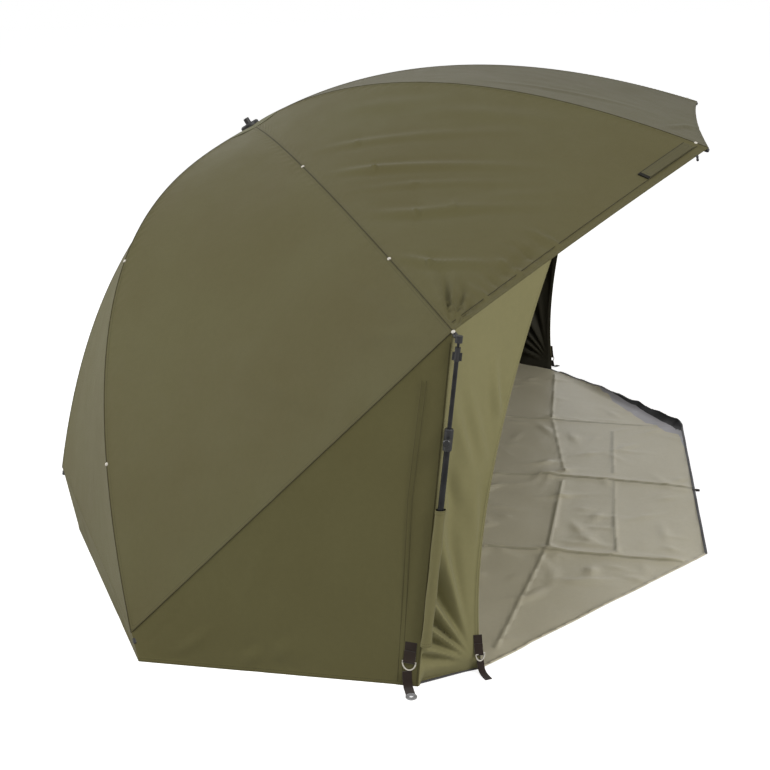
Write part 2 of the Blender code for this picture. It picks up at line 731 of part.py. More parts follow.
# Webbing tabs at the wall corners and the wing feet, each with a ring; the corner rings hold a pegging plate
def webbing_tab(name, place, width, height):
    """A strap sewn flat on the wall, its lower end looped round the ring's straight bar."""
    tab = add_object(
        name,
        box_mesh(name, (-width / 2, TOUCH, 0), (width / 2, TOUCH + TAB_THICKNESS, height)),
        "webbing",
    )
    tab.matrix_world = place
    middle = TOUCH + TAB_LOOP_RADIUS
    turn = place @ Matrix.Translation((0, middle, 0)) @ Matrix.Rotation(pi / 2, 4, "Y")
    loop = turned_mesh(name + "_loop", rod_profile(TAB_LOOP_RADIUS, -width / 2, width / 2), 12)
    bore = turned_mesh(name + "_bore", rod_profile(RING_WIRE + TOUCH, -width, width), 12)
    helper(name + "_loop", loop, turn, tab, "UNION")
    helper(name + "_bore", bore, turn, tab, "DIFFERENCE")


def ring(name, place, width, height):
    """A D-shaped wire ring hanging from its straight bar."""
    half = width / 2 + RING_OVER_TAB - RING_WIRE
    fall = height - RING_WIRE * 2
    middle = TOUCH + TAB_LOOP_RADIUS
    points = [Vector((-half * cos(step * pi / 10), middle, -fall * sin(step * pi / 10))) for step in range(11)]
    made = add_object(name, tube_mesh(name, points, RING_WIRE, closed=True), "pale_plastic", radians(50))
    made.matrix_world = place
    return made


def peg_strap(name, place, drop):
    """The strap under a corner ring, laid out along the ground to an oval plate with a hole."""
    middle = TOUCH + TAB_LOOP_RADIUS
    half = PEG_STRAP_THICKNESS / 2
    plate_start = PEG_PLATE_REACH - PEG_PLATE_HALF_LENGTH
    outline = [
        (middle - half, drop),
        (middle + half, drop),
        (middle + half, TAB_LOOP_RADIUS * 2),
        (middle * 2, TOUCH + PEG_STRAP_THICKNESS),
        (plate_start + OVERRUN / 2, TOUCH + PEG_STRAP_THICKNESS),
        (plate_start + OVERRUN / 2, TOUCH),
        (middle * 1.6, TOUCH),
        (middle - half, TAB_LOOP_RADIUS),
    ]
    shape = bmesh.new()
    face = shape.faces.new([shape.verts.new((-PEG_STRAP_WIDTH / 2, out, up)) for out, up in outline])
    raised = bmesh.ops.extrude_face_region(shape, geom=[face])
    for vert in [piece for piece in raised["geom"] if isinstance(piece, bmesh.types.BMVert)]:
        vert.co.x = PEG_STRAP_WIDTH / 2
    strap = add_object(name, mesh_from(name, shape), "webbing")
    strap.matrix_world = place
    plate = turned_mesh(
        name + "_plate",
        [
            (PEG_HOLE_RADIUS, TOUCH),
            (PEG_PLATE_HALF_WIDTH, TOUCH),
            (PEG_PLATE_HALF_WIDTH, TOUCH + PEG_PLATE_THICKNESS),
            (PEG_HOLE_RADIUS, TOUCH + PEG_PLATE_THICKNESS),
        ],
        20,
    )
    for vert in plate.vertices:
        if Vector((vert.co.x, vert.co.y)).length > (PEG_HOLE_RADIUS + PEG_PLATE_HALF_WIDTH) / 2:
            vert.co.y *= PEG_PLATE_HALF_LENGTH / PEG_PLATE_HALF_WIDTH
    helper(name + "_plate", plate, place @ Matrix.Translation((0, PEG_PLATE_REACH, 0)), strap, "UNION")
    return strap


for ribs in (LEFT, RIGHT):
    side = ribs[0].side
    SIDE = side_name(side)
    front = ground(WALL_FRONT_HALF, WALL_FRONT_Y, side)
    corner = ground(WALL_CORNER_HALF, WALL_CORNER_Y, side)
    wall_line = (corner - front).normalized()
    hem = gore_point(ribs[1], ribs[2], 1, 0, 0, 0)
    rise = (hem - front).normalized()
    outwards = wall_line.cross(rise) * side
    if outwards.x * side < 0:
        outwards = -outwards
    spot = front + wall_line * CORNER_TAB_BACK
    bar = frame(spot + rise * CORNER_RING_TOP, outwards.cross(rise), rise)
    webbing_tab("corner_tab_" + SIDE, bar, CORNER_TAB_WIDTH, CORNER_TAB_TOP - CORNER_RING_TOP)
    corner_ring = ring("corner_ring_" + SIDE, bar, CORNER_TAB_WIDTH, CORNER_RING_HEIGHT)
    flat = frame(spot, outwards.cross(UP), UP)
    strap_top = CORNER_RING_TOP - CORNER_RING_HEIGHT + RING_WIRE - TOUCH
    strap = peg_strap("peg_strap_" + SIDE, flat, strap_top)
    middle = TOUCH + TAB_LOOP_RADIUS
    pivot("corner_ring_turn_" + SIDE, bar @ Vector((0, middle, 0)), [corner_ring, strap])

    # The foot tab lies on the flat hem strip along the wing's front edge
    wing_face = WING_FACE[SIDE]
    wing_height = gore_point(ribs[1], ribs[0], 1, WING_TOP_SHARE, SIDE_HEM_HOLLOW, 0).z
    low, high = [1 - height / wing_height for height in (FOOT_RING_TOP, FOOT_TAB_TOP)]
    strip_middle = (1 + WING_FOLDED_SHARE) / 2
    spot = wing_face(low, strip_middle)
    rise = (wing_face(high, strip_middle) - spot).normalized()
    strip_line = (wing_face(low, 1) - wing_face(low, WING_FOLDED_SHARE)).normalized()
    wing_out = strip_line.cross(rise).normalized() * -side
    if wing_out.x * side < 0:
        wing_out = -wing_out
    bar = frame(spot + wing_out * TOUCH, wing_out.cross(rise), rise)
    webbing_tab("foot_tab_" + SIDE, bar, FOOT_TAB_WIDTH, FOOT_TAB_TOP - FOOT_RING_TOP)
    foot_ring = ring("foot_ring_" + SIDE, bar, FOOT_TAB_WIDTH, FOOT_RING_HEIGHT)
    pivot("foot_ring_turn_" + SIDE, bar @ Vector((0, middle, 0)), [foot_ring])
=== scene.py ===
"""Oval fishing umbrella in dark olive cloth, standing on two side poles with walls to the ground, small
front wings and a groundsheet. Metres, +Z up, front towards -Y, the origin on the ground under the middle."""

import json
from collections import namedtuple
from math import cos, hypot, pi, radians, sin, sqrt

import bmesh
import bpy
import numpy as np
from mathutils import Matrix, Vector

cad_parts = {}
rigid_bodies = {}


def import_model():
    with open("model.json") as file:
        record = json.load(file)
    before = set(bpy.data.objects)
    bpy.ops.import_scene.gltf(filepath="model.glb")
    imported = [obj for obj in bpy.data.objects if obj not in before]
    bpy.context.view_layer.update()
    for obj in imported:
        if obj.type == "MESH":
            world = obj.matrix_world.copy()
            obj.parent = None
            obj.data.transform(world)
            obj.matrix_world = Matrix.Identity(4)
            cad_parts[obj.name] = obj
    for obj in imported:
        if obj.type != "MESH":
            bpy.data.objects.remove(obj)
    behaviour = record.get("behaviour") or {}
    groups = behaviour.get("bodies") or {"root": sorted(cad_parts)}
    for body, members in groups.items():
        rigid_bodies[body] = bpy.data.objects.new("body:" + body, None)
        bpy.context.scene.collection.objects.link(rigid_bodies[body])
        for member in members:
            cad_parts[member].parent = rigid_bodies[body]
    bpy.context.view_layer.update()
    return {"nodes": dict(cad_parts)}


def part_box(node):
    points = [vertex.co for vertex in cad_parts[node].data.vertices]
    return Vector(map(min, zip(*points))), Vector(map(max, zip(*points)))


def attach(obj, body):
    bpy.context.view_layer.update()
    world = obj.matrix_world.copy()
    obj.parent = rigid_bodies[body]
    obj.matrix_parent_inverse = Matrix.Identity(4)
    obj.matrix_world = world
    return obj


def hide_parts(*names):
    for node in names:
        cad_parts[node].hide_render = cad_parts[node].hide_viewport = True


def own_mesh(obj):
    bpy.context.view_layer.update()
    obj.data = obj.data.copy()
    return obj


for item in list(bpy.data.objects):
    bpy.data.objects.remove(item, do_unlink=True)
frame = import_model()
nodes = frame["nodes"]

# The studio: a camera to the left of the front, three large soft lamps in front, behind and high at the
# left, an even soft light from all round, and a white floor that keeps the shelter's shadow.
CAMERA_PLACE = Vector((-4.82, -0.785, 1.68))
CAMERA_TURN = radians(9.8)
CAMERA_FALL = radians(15.6)
CAMERA_ROLL = radians(-2.1)
LENS_LENGTH = 74.52
SENSOR_WIDTH = 36
FARTHEST = 100
ahead = Vector((cos(CAMERA_FALL) * cos(CAMERA_TURN), cos(CAMERA_FALL) * sin(CAMERA_TURN), -sin(CAMERA_FALL)))
level = Vector((sin(CAMERA_TURN), -cos(CAMERA_TURN), 0))
over = level.cross(ahead)
right = level * cos(CAMERA_ROLL) + over * sin(CAMERA_ROLL)
up = over * cos(CAMERA_ROLL) - level * sin(CAMERA_ROLL)
camera = bpy.data.objects.new("camera", bpy.data.cameras.new("camera"))
bpy.context.scene.collection.objects.link(camera)
camera.data.lens = LENS_LENGTH
camera.data.sensor_width = SENSOR_WIDTH
camera.data.dof.use_dof = False
camera.data.clip_end = FARTHEST
camera.matrix_world = Matrix.Translation(CAMERA_PLACE) @ Matrix((right, up, -ahead)).transposed().to_4x4()
bpy.context.scene.camera = camera
bpy.context.scene.view_settings.view_transform = "Standard"


def lamp(name, place, aim, size, power, colour):
    """A large square soft lamp that faces a point, its power in watts."""
    made = bpy.data.lights.new(name, "AREA")
    made.size = size
    made.energy = power
    made.color = colour
    holder = bpy.data.objects.new(name, made)
    bpy.context.scene.collection.objects.link(holder)
    holder.location = place
    holder.rotation_euler = (Vector(aim) - Vector(place)).to_track_quat("-Z", "Y").to_euler()


def added(tree, kind, **values):
    """A new node. Each value goes to the input or setting of its name, where _ may stand for a space."""
    fresh = tree.nodes.new(kind)
    for key, value in values.items():
        label = key.replace("_", " ")
        if label in fresh.inputs:
            fresh.inputs[label].default_value = value
        else:
            setattr(fresh, key, value)
    return fresh


def wired(tree, *links):
    """Join sockets of a node tree, each link given as (from, to)."""
    for start, end in links:
        tree.links.new(start, end)


lamp("front_lamp", (-3.6, -4.4, 3.8), (0, -0.2, 0.4), 2.4, 178, (1.0, 0.985, 0.96))
lamp("rear_lamp", (-1.8, 6.0, 3.0), (0, 0.4, 0.6), 2.6, 175, (1.0, 0.99, 0.97))
lamp("side_lamp", (-4.2, 2.4, 5.2), (0, 0.2, 0.5), 2.6, 66, (1.0, 0.99, 0.97))

SOFT_LIGHT = 0.26
world = bpy.data.worlds.new("studio")
bpy.context.scene.world = world
world.use_nodes = True
tree = world.node_tree
tree.nodes.clear()
soft = added(tree, "ShaderNodeBackground", Color=(0.98, 0.99, 1.0, 1), Strength=SOFT_LIGHT)
white = added(tree, "ShaderNodeBackground", Color=(1, 1, 1, 1))
path = added(tree, "ShaderNodeLightPath")
either = added(tree, "ShaderNodeMath", operation="MAXIMUM")
any_ray = added(tree, "ShaderNodeMath", operation="MAXIMUM")
choice = added(tree, "ShaderNodeMixShader")
ending = added(tree, "ShaderNodeOutputWorld")
wired(
    tree,
    (path.outputs["Is Camera Ray"], either.inputs[0]),
    (path.outputs["Is Glossy Ray"], either.inputs[1]),
    (either.outputs[0], any_ray.inputs[0]),
    (path.outputs["Is Transmission Ray"], any_ray.inputs[1]),
    (any_ray.outputs[0], choice.inputs["Fac"]),
    (soft.outputs[0], choice.inputs[1]),
    (white.outputs[0], choice.inputs[2]),
    (choice.outputs[0], ending.inputs["Surface"]),
)

FLOOR_HALF = 30
FLOOR_DROP = 0.0006
FLOOR_GLOW = 0.78
shape = bmesh.new()
bmesh.ops.create_grid(shape, x_segments=1, y_segments=1, size=FLOOR_HALF)
bmesh.ops.translate(shape, verts=shape.verts, vec=(0, 0, -FLOOR_DROP))
floor_mesh = bpy.data.meshes.new("studio_floor")
shape.to_mesh(floor_mesh)
shape.free()
floor = bpy.data.objects.new("studio_floor", floor_mesh)
bpy.context.scene.collection.objects.link(floor)
pale = bpy.data.materials.new("pale_floor")
pale.use_nodes = True
tree = pale.node_tree
tree.nodes.clear()
lit = added(tree, "ShaderNodeBsdfDiffuse", Color=(0.86, 0.86, 0.86, 1))
glow = added(tree, "ShaderNodeEmission", Color=(1, 1, 1, 1))
path = added(tree, "ShaderNodeLightPath")
share = added(tree, "ShaderNodeMath", operation="MULTIPLY")
share.inputs[1].default_value = FLOOR_GLOW
both = added(tree, "ShaderNodeAddShader")
ending = added(tree, "ShaderNodeOutputMaterial")
wired(
    tree,
    (path.outputs["Is Camera Ray"], share.inputs[0]),
    (share.outputs[0], glow.inputs["Strength"]),
    (lit.outputs[0], both.inputs[0]),
    (glow.outputs[0], both.inputs[1]),
    (both.outputs[0], ending.inputs["Surface"]),
)
floor_mesh.materials.append(pale)

# Hub: a boss, a cap over the cloth, a spigot and a lock collar, all moulded in black nylon, with a plated
# wire ring that is threaded through the knuckles of the ribs. The solids' own shapes are kept.
HUB = np.array((0, 0.438, 1.139))
TILT = radians(30)
AXIS = np.array((0, sin(TILT), cos(TILT)))
AHEAD = np.array((0, -cos(TILT), sin(TILT)))


def moulded(name, colour, worn, roughness, metallic=0.0, grain=900, mottle=30, depth=0.00004):
    """A hard finish: colour that varies softly, a fine grain and slightly uneven gloss."""
    made = bpy.data.materials.new(name)
    made.use_nodes = True
    tree = made.node_tree
    shader = tree.nodes["Principled BSDF"]
    place = added(tree, "ShaderNodeTexCoord")
    patches = added(tree, "ShaderNodeTexNoise", Scale=mottle, Detail=3)
    fine = added(tree, "ShaderNodeTexNoise", Scale=grain, Detail=2)
    shade = added(tree, "ShaderNodeValToRGB")
    for stop, (position, tone) in zip(shade.color_ramp.elements, ((0.35, colour), (0.72, worn))):
        stop.position = position
        stop.color = (*tone, 1)
    gloss = added(tree, "ShaderNodeMapRange", To_Min=roughness * 0.82, To_Max=min(roughness * 1.2, 1))
    bump = added(tree, "ShaderNodeBump", Distance=depth, Strength=0.6)
    wired(
        tree,
        (place.outputs["Object"], patches.inputs["Vector"]),
        (place.outputs["Object"], fine.inputs["Vector"]),
        (patches.outputs["Fac"], shade.inputs["Fac"]),
        (shade.outputs["Color"], shader.inputs["Base Color"]),
        (fine.outputs["Fac"], gloss.inputs["Value"]),
        (gloss.outputs["Result"], shader.inputs["Roughness"]),
        (fine.outputs["Fac"], bump.inputs["Height"]),
        (bump.outputs["Normal"], shader.inputs["Normal"]),
    )
    shader.inputs["Metallic"].default_value = metallic
    return made


def dressed(name, finish):
    """Give a kept node its finish."""
    mesh = nodes[name].data
    mesh.materials.clear()
    mesh.materials.append(finish)


BLACK_NYLON = moulded("black_nylon", (0.010, 0.010, 0.011), (0.020, 0.020, 0.020), 0.42)
PLATED_STEEL = moulded("plated_steel", (0.50, 0.49, 0.46), (0.62, 0.61, 0.58), 0.24, 1.0, 300, 60, 0.00001)
for name in ("hub_boss", "hub_cap", "hub_spigot", "lock_collar"):
    dressed(name, BLACK_NYLON)
dressed("pivot_ring", PLATED_STEEL)

# Ribs: eight black coated steel rods, each bent to its own curve, with a flattened knuckle threaded on
# the hub's wire ring and a moulded cap pushed on the outer end.
Rib = namedtuple("Rib", "name side angle reach drop bend")
OPENING_RADIUS = 0.025
HEM_BACK = 0.012
ROD_RADIUS = 0.004
ROD_DEPTH = 0.0071
PIVOT_RADIUS = 0.034
PIVOT_DEPTH = 0.012
KNUCKLE_RADIUS = 0.0065
KNUCKLE_WIDTH = 0.009
KNUCKLE_BORE = 0.0021
KNUCKLE_EDGE = 0.001
ROD_START = PIVOT_RADIUS * 1.6


def rib_set(side, name):
    """The four ribs of one side, from the front to the rear."""
    return [
        Rib("front_" + name, side, radians(26.5), 1.318, 0.692, 2.03),
        Rib("side_" + name, side, radians(69.4), 1.556, 0.658, 1.56),
        Rib("corner_" + name, side, radians(112.2), 1.494, 0.939, 2.95),
        Rib("rear_" + name, side, radians(151.1), 1.060, 0.580, 2.25),
    ]


LEFT = rib_set(-1, "left")
RIGHT = rib_set(1, "right")
SIDES = ((LEFT, "left"), (RIGHT, "right"))


def unit(line):
    """The same directions, one unit long."""
    return line / np.linalg.norm(line, axis=-1, keepdims=True)


def outward(rib):
    """Unit vector from the hub along a rib, square to the hub's axis."""
    return AHEAD * cos(rib.angle) + np.array((rib.side, 0, 0)) * sin(rib.angle)


def on_rib(rib, share, depth=0.0):
    """Points of a rib's curve at shares of its reach, a depth under the cloth's outer face."""
    share = np.asarray(share, float)[..., None]
    slope = rib.bend * rib.drop / rib.reach * share ** (rib.bend - 1)
    lift = unit(AXIS + outward(rib) * slope)
    return HUB + outward(rib) * rib.reach * share - AXIS * rib.drop * share ** rib.bend - lift * depth


def tube_mesh(name, points, radius, sides=3):
    """A round wire, rod or bead along a run of points."""
    curve = bpy.data.curves.new(name, "CURVE")
    curve.dimensions = "3D"
    curve.bevel_depth = radius
    curve.bevel_resolution = sides
    curve.use_fill_caps = True
    spline = curve.splines.new("POLY")
    spline.points.add(len(points) - 1)
    for place, point in zip(spline.points, points):
        place.co = (*point, 1)
    holder = bpy.data.objects.new(name + "_path", curve)
    bpy.context.scene.collection.objects.link(holder)
    mesh = bpy.data.meshes.new_from_object(holder.evaluated_get(bpy.context.evaluated_depsgraph_get()))
    bpy.data.objects.remove(holder, do_unlink=True)
    shape = bmesh.new()
    shape.from_mesh(mesh)
    bmesh.ops.remove_doubles(shape, verts=shape.verts, dist=radius / 1000)
    bmesh.ops.recalc_face_normals(shape, faces=shape.faces)
    shape.to_mesh(mesh)
    shape.free()
    return mesh


def turned(shape, profile, sides, place):
    """Add a profile of (radius, height) turned about its own axis to a shape, at a place."""
    verts = [shape.verts.new((radius, 0, height)) for radius, height in profile]
    edges = [shape.edges.new(pair) for pair in zip(verts, verts[1:])]
    if profile[0][0] > 0:
        edges.append(shape.edges.new((verts[-1], verts[0])))
    before = set(shape.verts) - set(verts)
    bmesh.ops.spin(
        shape, geom=verts + edges, cent=(0, 0, 0), axis=(0, 0, 1), angle=2 * pi, steps=sides, use_merge=True
    )
    fresh = [vert for vert in shape.verts if vert not in before]
    bmesh.ops.remove_doubles(shape, verts=fresh, dist=0.000001)
    fresh = [vert for vert in shape.verts if vert not in before]
    bmesh.ops.transform(shape, matrix=place, verts=fresh)
    bmesh.ops.recalc_face_normals(shape, faces=list({face for vert in fresh for face in vert.link_faces}))
    return fresh


def placed(base, along, upwards):
    """A placement whose local Z follows one direction and whose local X leans towards another."""
    z_axis = Vector(upwards).normalized()
    y_axis = z_axis.cross(Vector(along)).normalized()
    x_axis = y_axis.cross(z_axis)
    return Matrix.Translation(Vector(base)) @ Matrix((x_axis, y_axis, z_axis)).transposed().to_4x4()


def linked(name, mesh, finishes, smooth=None):
    """Link a mesh as a piece with its finishes."""
    for finish in finishes:
        mesh.materials.append(finish)
    if smooth is not None:
        mesh.shade_smooth()
        mesh.set_sharp_from_angle(angle=radians(smooth))
    made = bpy.data.objects.new(name, mesh)
    bpy.context.scene.collection.objects.link(made)
    return made


def from_shape(name, shape, finishes, smooth=None):
    """Link a finished shape as a piece."""
    mesh = bpy.data.meshes.new(name)
    shape.to_mesh(mesh)
    shape.free()
    return linked(name, mesh, finishes, smooth)


def ridden(piece, body, replaced=None):
    """Let a piece ride a body and the node that it stands for."""
    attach(piece, body)
    if replaced:
        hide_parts(replaced)
    return piece


COATED_BLACK = (0.013, 0.013, 0.014)
COATED_STEEL = moulded("coated_steel", COATED_BLACK, (0.028, 0.028, 0.030), 0.34, 0.6, 500, 40, 0.00001)
for rib in LEFT + RIGHT:
    pin = HUB + outward(rib) * PIVOT_RADIUS - AXIS * PIVOT_DEPTH
    run = np.linspace(OPENING_RADIUS / rib.reach, 1, 61)
    run = run[run * rib.reach > ROD_START]
    points = [pin, *on_rib(rib, run, ROD_DEPTH)]
    mesh = tube_mesh("rod_" + rib.name, points, ROD_RADIUS)
    shape = bmesh.new()
    shape.from_mesh(mesh)
    knuckle = [
        (KNUCKLE_BORE, -KNUCKLE_WIDTH / 2),
        (KNUCKLE_RADIUS - KNUCKLE_EDGE, -KNUCKLE_WIDTH / 2),
        (KNUCKLE_RADIUS, KNUCKLE_EDGE - KNUCKLE_WIDTH / 2),
        (KNUCKLE_RADIUS, KNUCKLE_WIDTH / 2 - KNUCKLE_EDGE),
        (KNUCKLE_RADIUS - KNUCKLE_EDGE, KNUCKLE_WIDTH / 2),
        (KNUCKLE_BORE, KNUCKLE_WIDTH / 2),
    ]
    turned(shape, knuckle, 24, placed(pin, AXIS, np.cross(AXIS, outward(rib))))
    rod = from_shape("rod_" + rib.name, shape, [COATED_STEEL], 40)
    ridden(rod, "rib_" + rib.name, "rib_" + rib.name)
    dressed("tip_" + rib.name, BLACK_NYLON)

# Rivets: small domed caps in pale enamel along the seams. Each is pressed through the cloth into a clip on
# the rib under it, so that the cover stays in line with the ribs.
RIVET_SHARES = {"front": (0.981,), "side": (0.439, 0.802, 0.9935), "corner": (0.53, 0.835), "rear": (0.646,)}
RIVET_RADIUS = 0.0048
RIVET_SEAT = 0.0012
PALE_ENAMEL = moulded("pale_enamel", (0.62, 0.58, 0.50), (0.74, 0.71, 0.64), 0.3, 0.0, 400, 200)
for rib in LEFT + RIGHT:
    shape = bmesh.new()
    for share in RIVET_SHARES[rib.name.split("_")[0]]:
        base = on_rib(rib, share, -RIVET_SEAT)
        ahead_of = on_rib(rib, share + 0.003) - on_rib(rib, share - 0.003)
        lift = base - on_rib(rib, share, 0.004)
        profile = [
            (0, 0.0022),
            (0.0017, 0.0021),
            (0.0032, 0.0016),
            (0.0043, 0.0008),
            (RIVET_RADIUS, 0),
            (RIVET_RADIUS, -RIVET_SEAT),
            (0, -RIVET_SEAT),
        ]
        turned(shape, profile, 20, placed(base, ahead_of, lift))
    ridden(from_shape("rivets_" + rib.name, shape, [PALE_ENAMEL], 50), "rib_" + rib.name)

# Cover: eight gores of coated olive polyester, sewn to each other along the ribs with flat felled seams
# and hemmed at the edge. Each gore is drawn tight between its two ribs, so each half moves with its own.
CLOTH = 0.0012
CELL = 0.012
HEM_WIDTH = 0.0095
HEM_SLOPE = 0.002
HEM_RISE = 0.0008
SEAM_EDGE = (0, 0.0012, HEM_WIDTH, HEM_WIDTH + HEM_SLOPE, 0.02)
STITCH_ROWS = (0.0028, 0.0085)
STITCH_LENGTH = 0.0042
STITCH_HALF_WIDTH = 0.0004
STITCH_DASH_SHARE = 0.7
STITCH_DARKENING = 0.45
WAVE_SCALE = 0.314
LEAST_AREA_SHARE = 0.31
OUTER_OLIVE = (0.116, 0.102, 0.044)
OUTER_WORN = (0.126, 0.116, 0.052)
INNER_SHADE_OLIVE = (0.034, 0.032, 0.022)


def woven(
    name, colour, worn, pitch=0.0011, roughness=0.64, sheen=0.08, crinkle=0.35, stitched=True, speckle=0.06,
    gloss_level=0.12,
):
    """Coated plain weave: soft clouds of a second shade, fine threads, a slight crinkle and stitch lines."""
    made = bpy.data.materials.new(name)
    made.use_nodes = True
    tree = made.node_tree
    shader = tree.nodes["Principled BSDF"]

    def sum_of(operation, first, second):
        """The outcome of a sum with two terms, each a number or another node's outcome."""
        fresh = added(tree, "ShaderNodeMath", operation=operation)
        for place, value in zip(fresh.inputs, (first, second)):
            if isinstance(value, (int, float)):
                place.default_value = value
            else:
                tree.links.new(value, place)
        return fresh.outputs[0]

    cut = added(tree, "ShaderNodeUVMap", uv_map="cut")
    body = added(tree, "ShaderNodeTexCoord")
    threads = []
    for direction in ("X", "Y"):
        scale = WAVE_SCALE / pitch
        band = added(tree, "ShaderNodeTexWave", bands_direction=direction, Scale=scale, Distortion=0.0)
        tree.links.new(cut.outputs["UV"], band.inputs["Vector"])
        threads.append(band.outputs["Fac"])
    weave = sum_of("MULTIPLY", threads[0], threads[1])
    clouds = added(tree, "ShaderNodeTexNoise", Scale=1.7, Detail=3.0, Roughness=0.55)
    slub = added(tree, "ShaderNodeTexNoise", Scale=70.0, Detail=4.0, Roughness=0.6)
    wrinkle = added(tree, "ShaderNodeTexNoise", Scale=16.0, Detail=5.0, Roughness=0.55)
    tint = added(tree, "ShaderNodeMix", data_type="RGBA", A=(*colour, 1), B=(*worn, 1))
    spread = added(tree, "ShaderNodeMapRange", From_Min=0.35, From_Max=0.65)
    toned = added(tree, "ShaderNodeMix", data_type="RGBA", blend_type="MULTIPLY", Factor=1)
    shade = sum_of("ADD", sum_of("MULTIPLY", slub.outputs["Fac"], speckle * 2), 1 - speckle)
    shade = sum_of("MULTIPLY", shade, sum_of("ADD", sum_of("MULTIPLY", weave, 0.12), 0.95))
    wired(
        tree,
        *[(body.outputs["Object"], pattern.inputs["Vector"]) for pattern in (clouds, slub, wrinkle)],
        (clouds.outputs["Fac"], spread.inputs["Value"]),
        (spread.outputs["Result"], tint.inputs["Factor"]),
        (tint.outputs["Result"], toned.inputs["A"]),
        (shade, toned.inputs["B"]),
    )
    crinkles = sum_of("MULTIPLY", wrinkle.outputs["Fac"], crinkle * 0.004)
    height = sum_of("ADD", sum_of("MULTIPLY", weave, 0.00012), crinkles)
    colour_out = toned.outputs["Result"]
    if stitched:
        seam = added(tree, "ShaderNodeAttribute", attribute_name="seam")
        parts = added(tree, "ShaderNodeSeparateXYZ")
        tree.links.new(seam.outputs["Vector"], parts.inputs["Vector"])
        rows = []
        for row_at in STITCH_ROWS:
            row = added(tree, "ShaderNodeMath", operation="COMPARE")
            tree.links.new(parts.outputs["Y"], row.inputs[0])
            row.inputs[1].default_value = row_at
            row.inputs[2].default_value = STITCH_HALF_WIDTH
            rows.append(row.outputs[0])
        counted = sum_of("FRACT", sum_of("DIVIDE", parts.outputs["X"], STITCH_LENGTH), 0)
        dash = sum_of("LESS_THAN", counted, STITCH_DASH_SHARE)
        stitch = sum_of("MULTIPLY", sum_of("MAXIMUM", rows[0], rows[1]), dash)
        darker = (*[part * STITCH_DARKENING for part in colour], 1)
        thread = added(tree, "ShaderNodeMix", data_type="RGBA", B=darker)
        wired(tree, (stitch, thread.inputs["Factor"]), (colour_out, thread.inputs["A"]))
        colour_out = thread.outputs["Result"]
        height = sum_of("ADD", height, sum_of("MULTIPLY", stitch, 0.0004))
    gloss = added(tree, "ShaderNodeMapRange", To_Min=roughness * 0.88, To_Max=min(roughness * 1.14, 1))
    bump = added(tree, "ShaderNodeBump", Strength=0.5, Distance=1.0)
    wired(
        tree,
        (colour_out, shader.inputs["Base Color"]),
        (wrinkle.outputs["Fac"], gloss.inputs["Value"]),
        (gloss.outputs["Result"], shader.inputs["Roughness"]),
        (height, bump.inputs["Height"]),
        (bump.outputs["Normal"], shader.inputs["Normal"]),
    )
    shader.inputs["Sheen Weight"].default_value = sheen
    shader.inputs["Sheen Roughness"].default_value = 0.45
    shader.inputs["Specular IOR Level"].default_value = gloss_level
    return made


COVER_OUTSIDE = woven("cover_outside", OUTER_OLIVE, OUTER_WORN)
# The front gore is the same cloth as the rest, given a darker copy of its colour: painted shade.
FRONT_SHADED_OUTSIDE = woven("front_outside", (0.088, 0.078, 0.032), (0.097, 0.089, 0.039))
# The inner face is near black: painted shade for the dim underside of the cover, the walls and the hub patch.
COVER_INSIDE_SHADE = woven("cover_inside", INNER_SHADE_OLIVE, (0.040, 0.037, 0.026), sheen=0.05, roughness=0.7)


def cloth_share(rib, down, hollow=0.0):
    """The share of a rib's reach at which the cloth lies, from its hub opening at 0 to the hem at 1."""
    start = OPENING_RADIUS / rib.reach
    hem = 1 - (HEM_BACK * (not rib.name.startswith("front")) + hollow) / rib.reach
    return start + (hem - start) * down


def gore_points(first, second, down, across, hollow=0.0, depth=0.0):
    """Points of the cloth between two ribs, on the straight chord from one to the other."""
    down, across = np.broadcast_arrays(down, across)
    sag = hollow * 4 * across * (1 - across)
    start = on_rib(first, cloth_share(first, down, sag), depth)
    end = on_rib(second, cloth_share(second, down, sag), depth)
    return start + (end - start) * across[..., None]


def stepped(length, start, end, cell=CELL):
    """Shares along a length: fine steps where an edge is hemmed, and even cells between, an even number."""
    count = 2 * max(2, round((length - start[-1] - end[-1]) / cell / 2))
    middle = np.linspace(start[-1], length - end[-1], count + 1)
    steps = [*start[:-1], *middle, *[length - step for step in reversed(end[:-1])]]
    return np.array(steps) / length


def spans(points, axis):
    """Running length along one direction of a grid of points."""
    steps = np.linalg.norm(np.diff(points, axis=axis), axis=-1)
    start = np.zeros_like(np.take(steps, [0], axis=axis))
    return np.concatenate([start, np.cumsum(steps, axis=axis)], axis=axis)


def face_on(points, inside):
    """Unit normals of a grid of points, away from a point inside."""
    down = np.gradient(points, axis=0)
    across = np.gradient(points, axis=1)
    made = unit(np.cross(down, across) + 1e-12)
    middle = points[points.shape[0] // 2, points.shape[1] // 2]
    turn = np.sign(np.dot(made[points.shape[0] // 2, points.shape[1] // 2], middle - inside))
    return made * turn


def centred_cut(along, wide, middle):
    """The flat cut of a panel, measured from its middle line."""
    lengths = np.repeat(along[:, middle:middle + 1], along.shape[1], 1)
    return np.stack([wide - wide[:, middle:middle + 1], lengths], -1)


def place_in(cut, down, across, place_down, place_across):
    """Where a place given in shares lies in the flat cut of a panel."""
    row = np.interp(place_down, down, np.arange(len(down)))
    low = int(min(row, len(down) - 2))
    line = cut[low] * (1 - (row - low)) + cut[low + 1] * (row - low)
    return np.array([np.interp(place_across, across, line[:, axis]) for axis in (0, 1)])


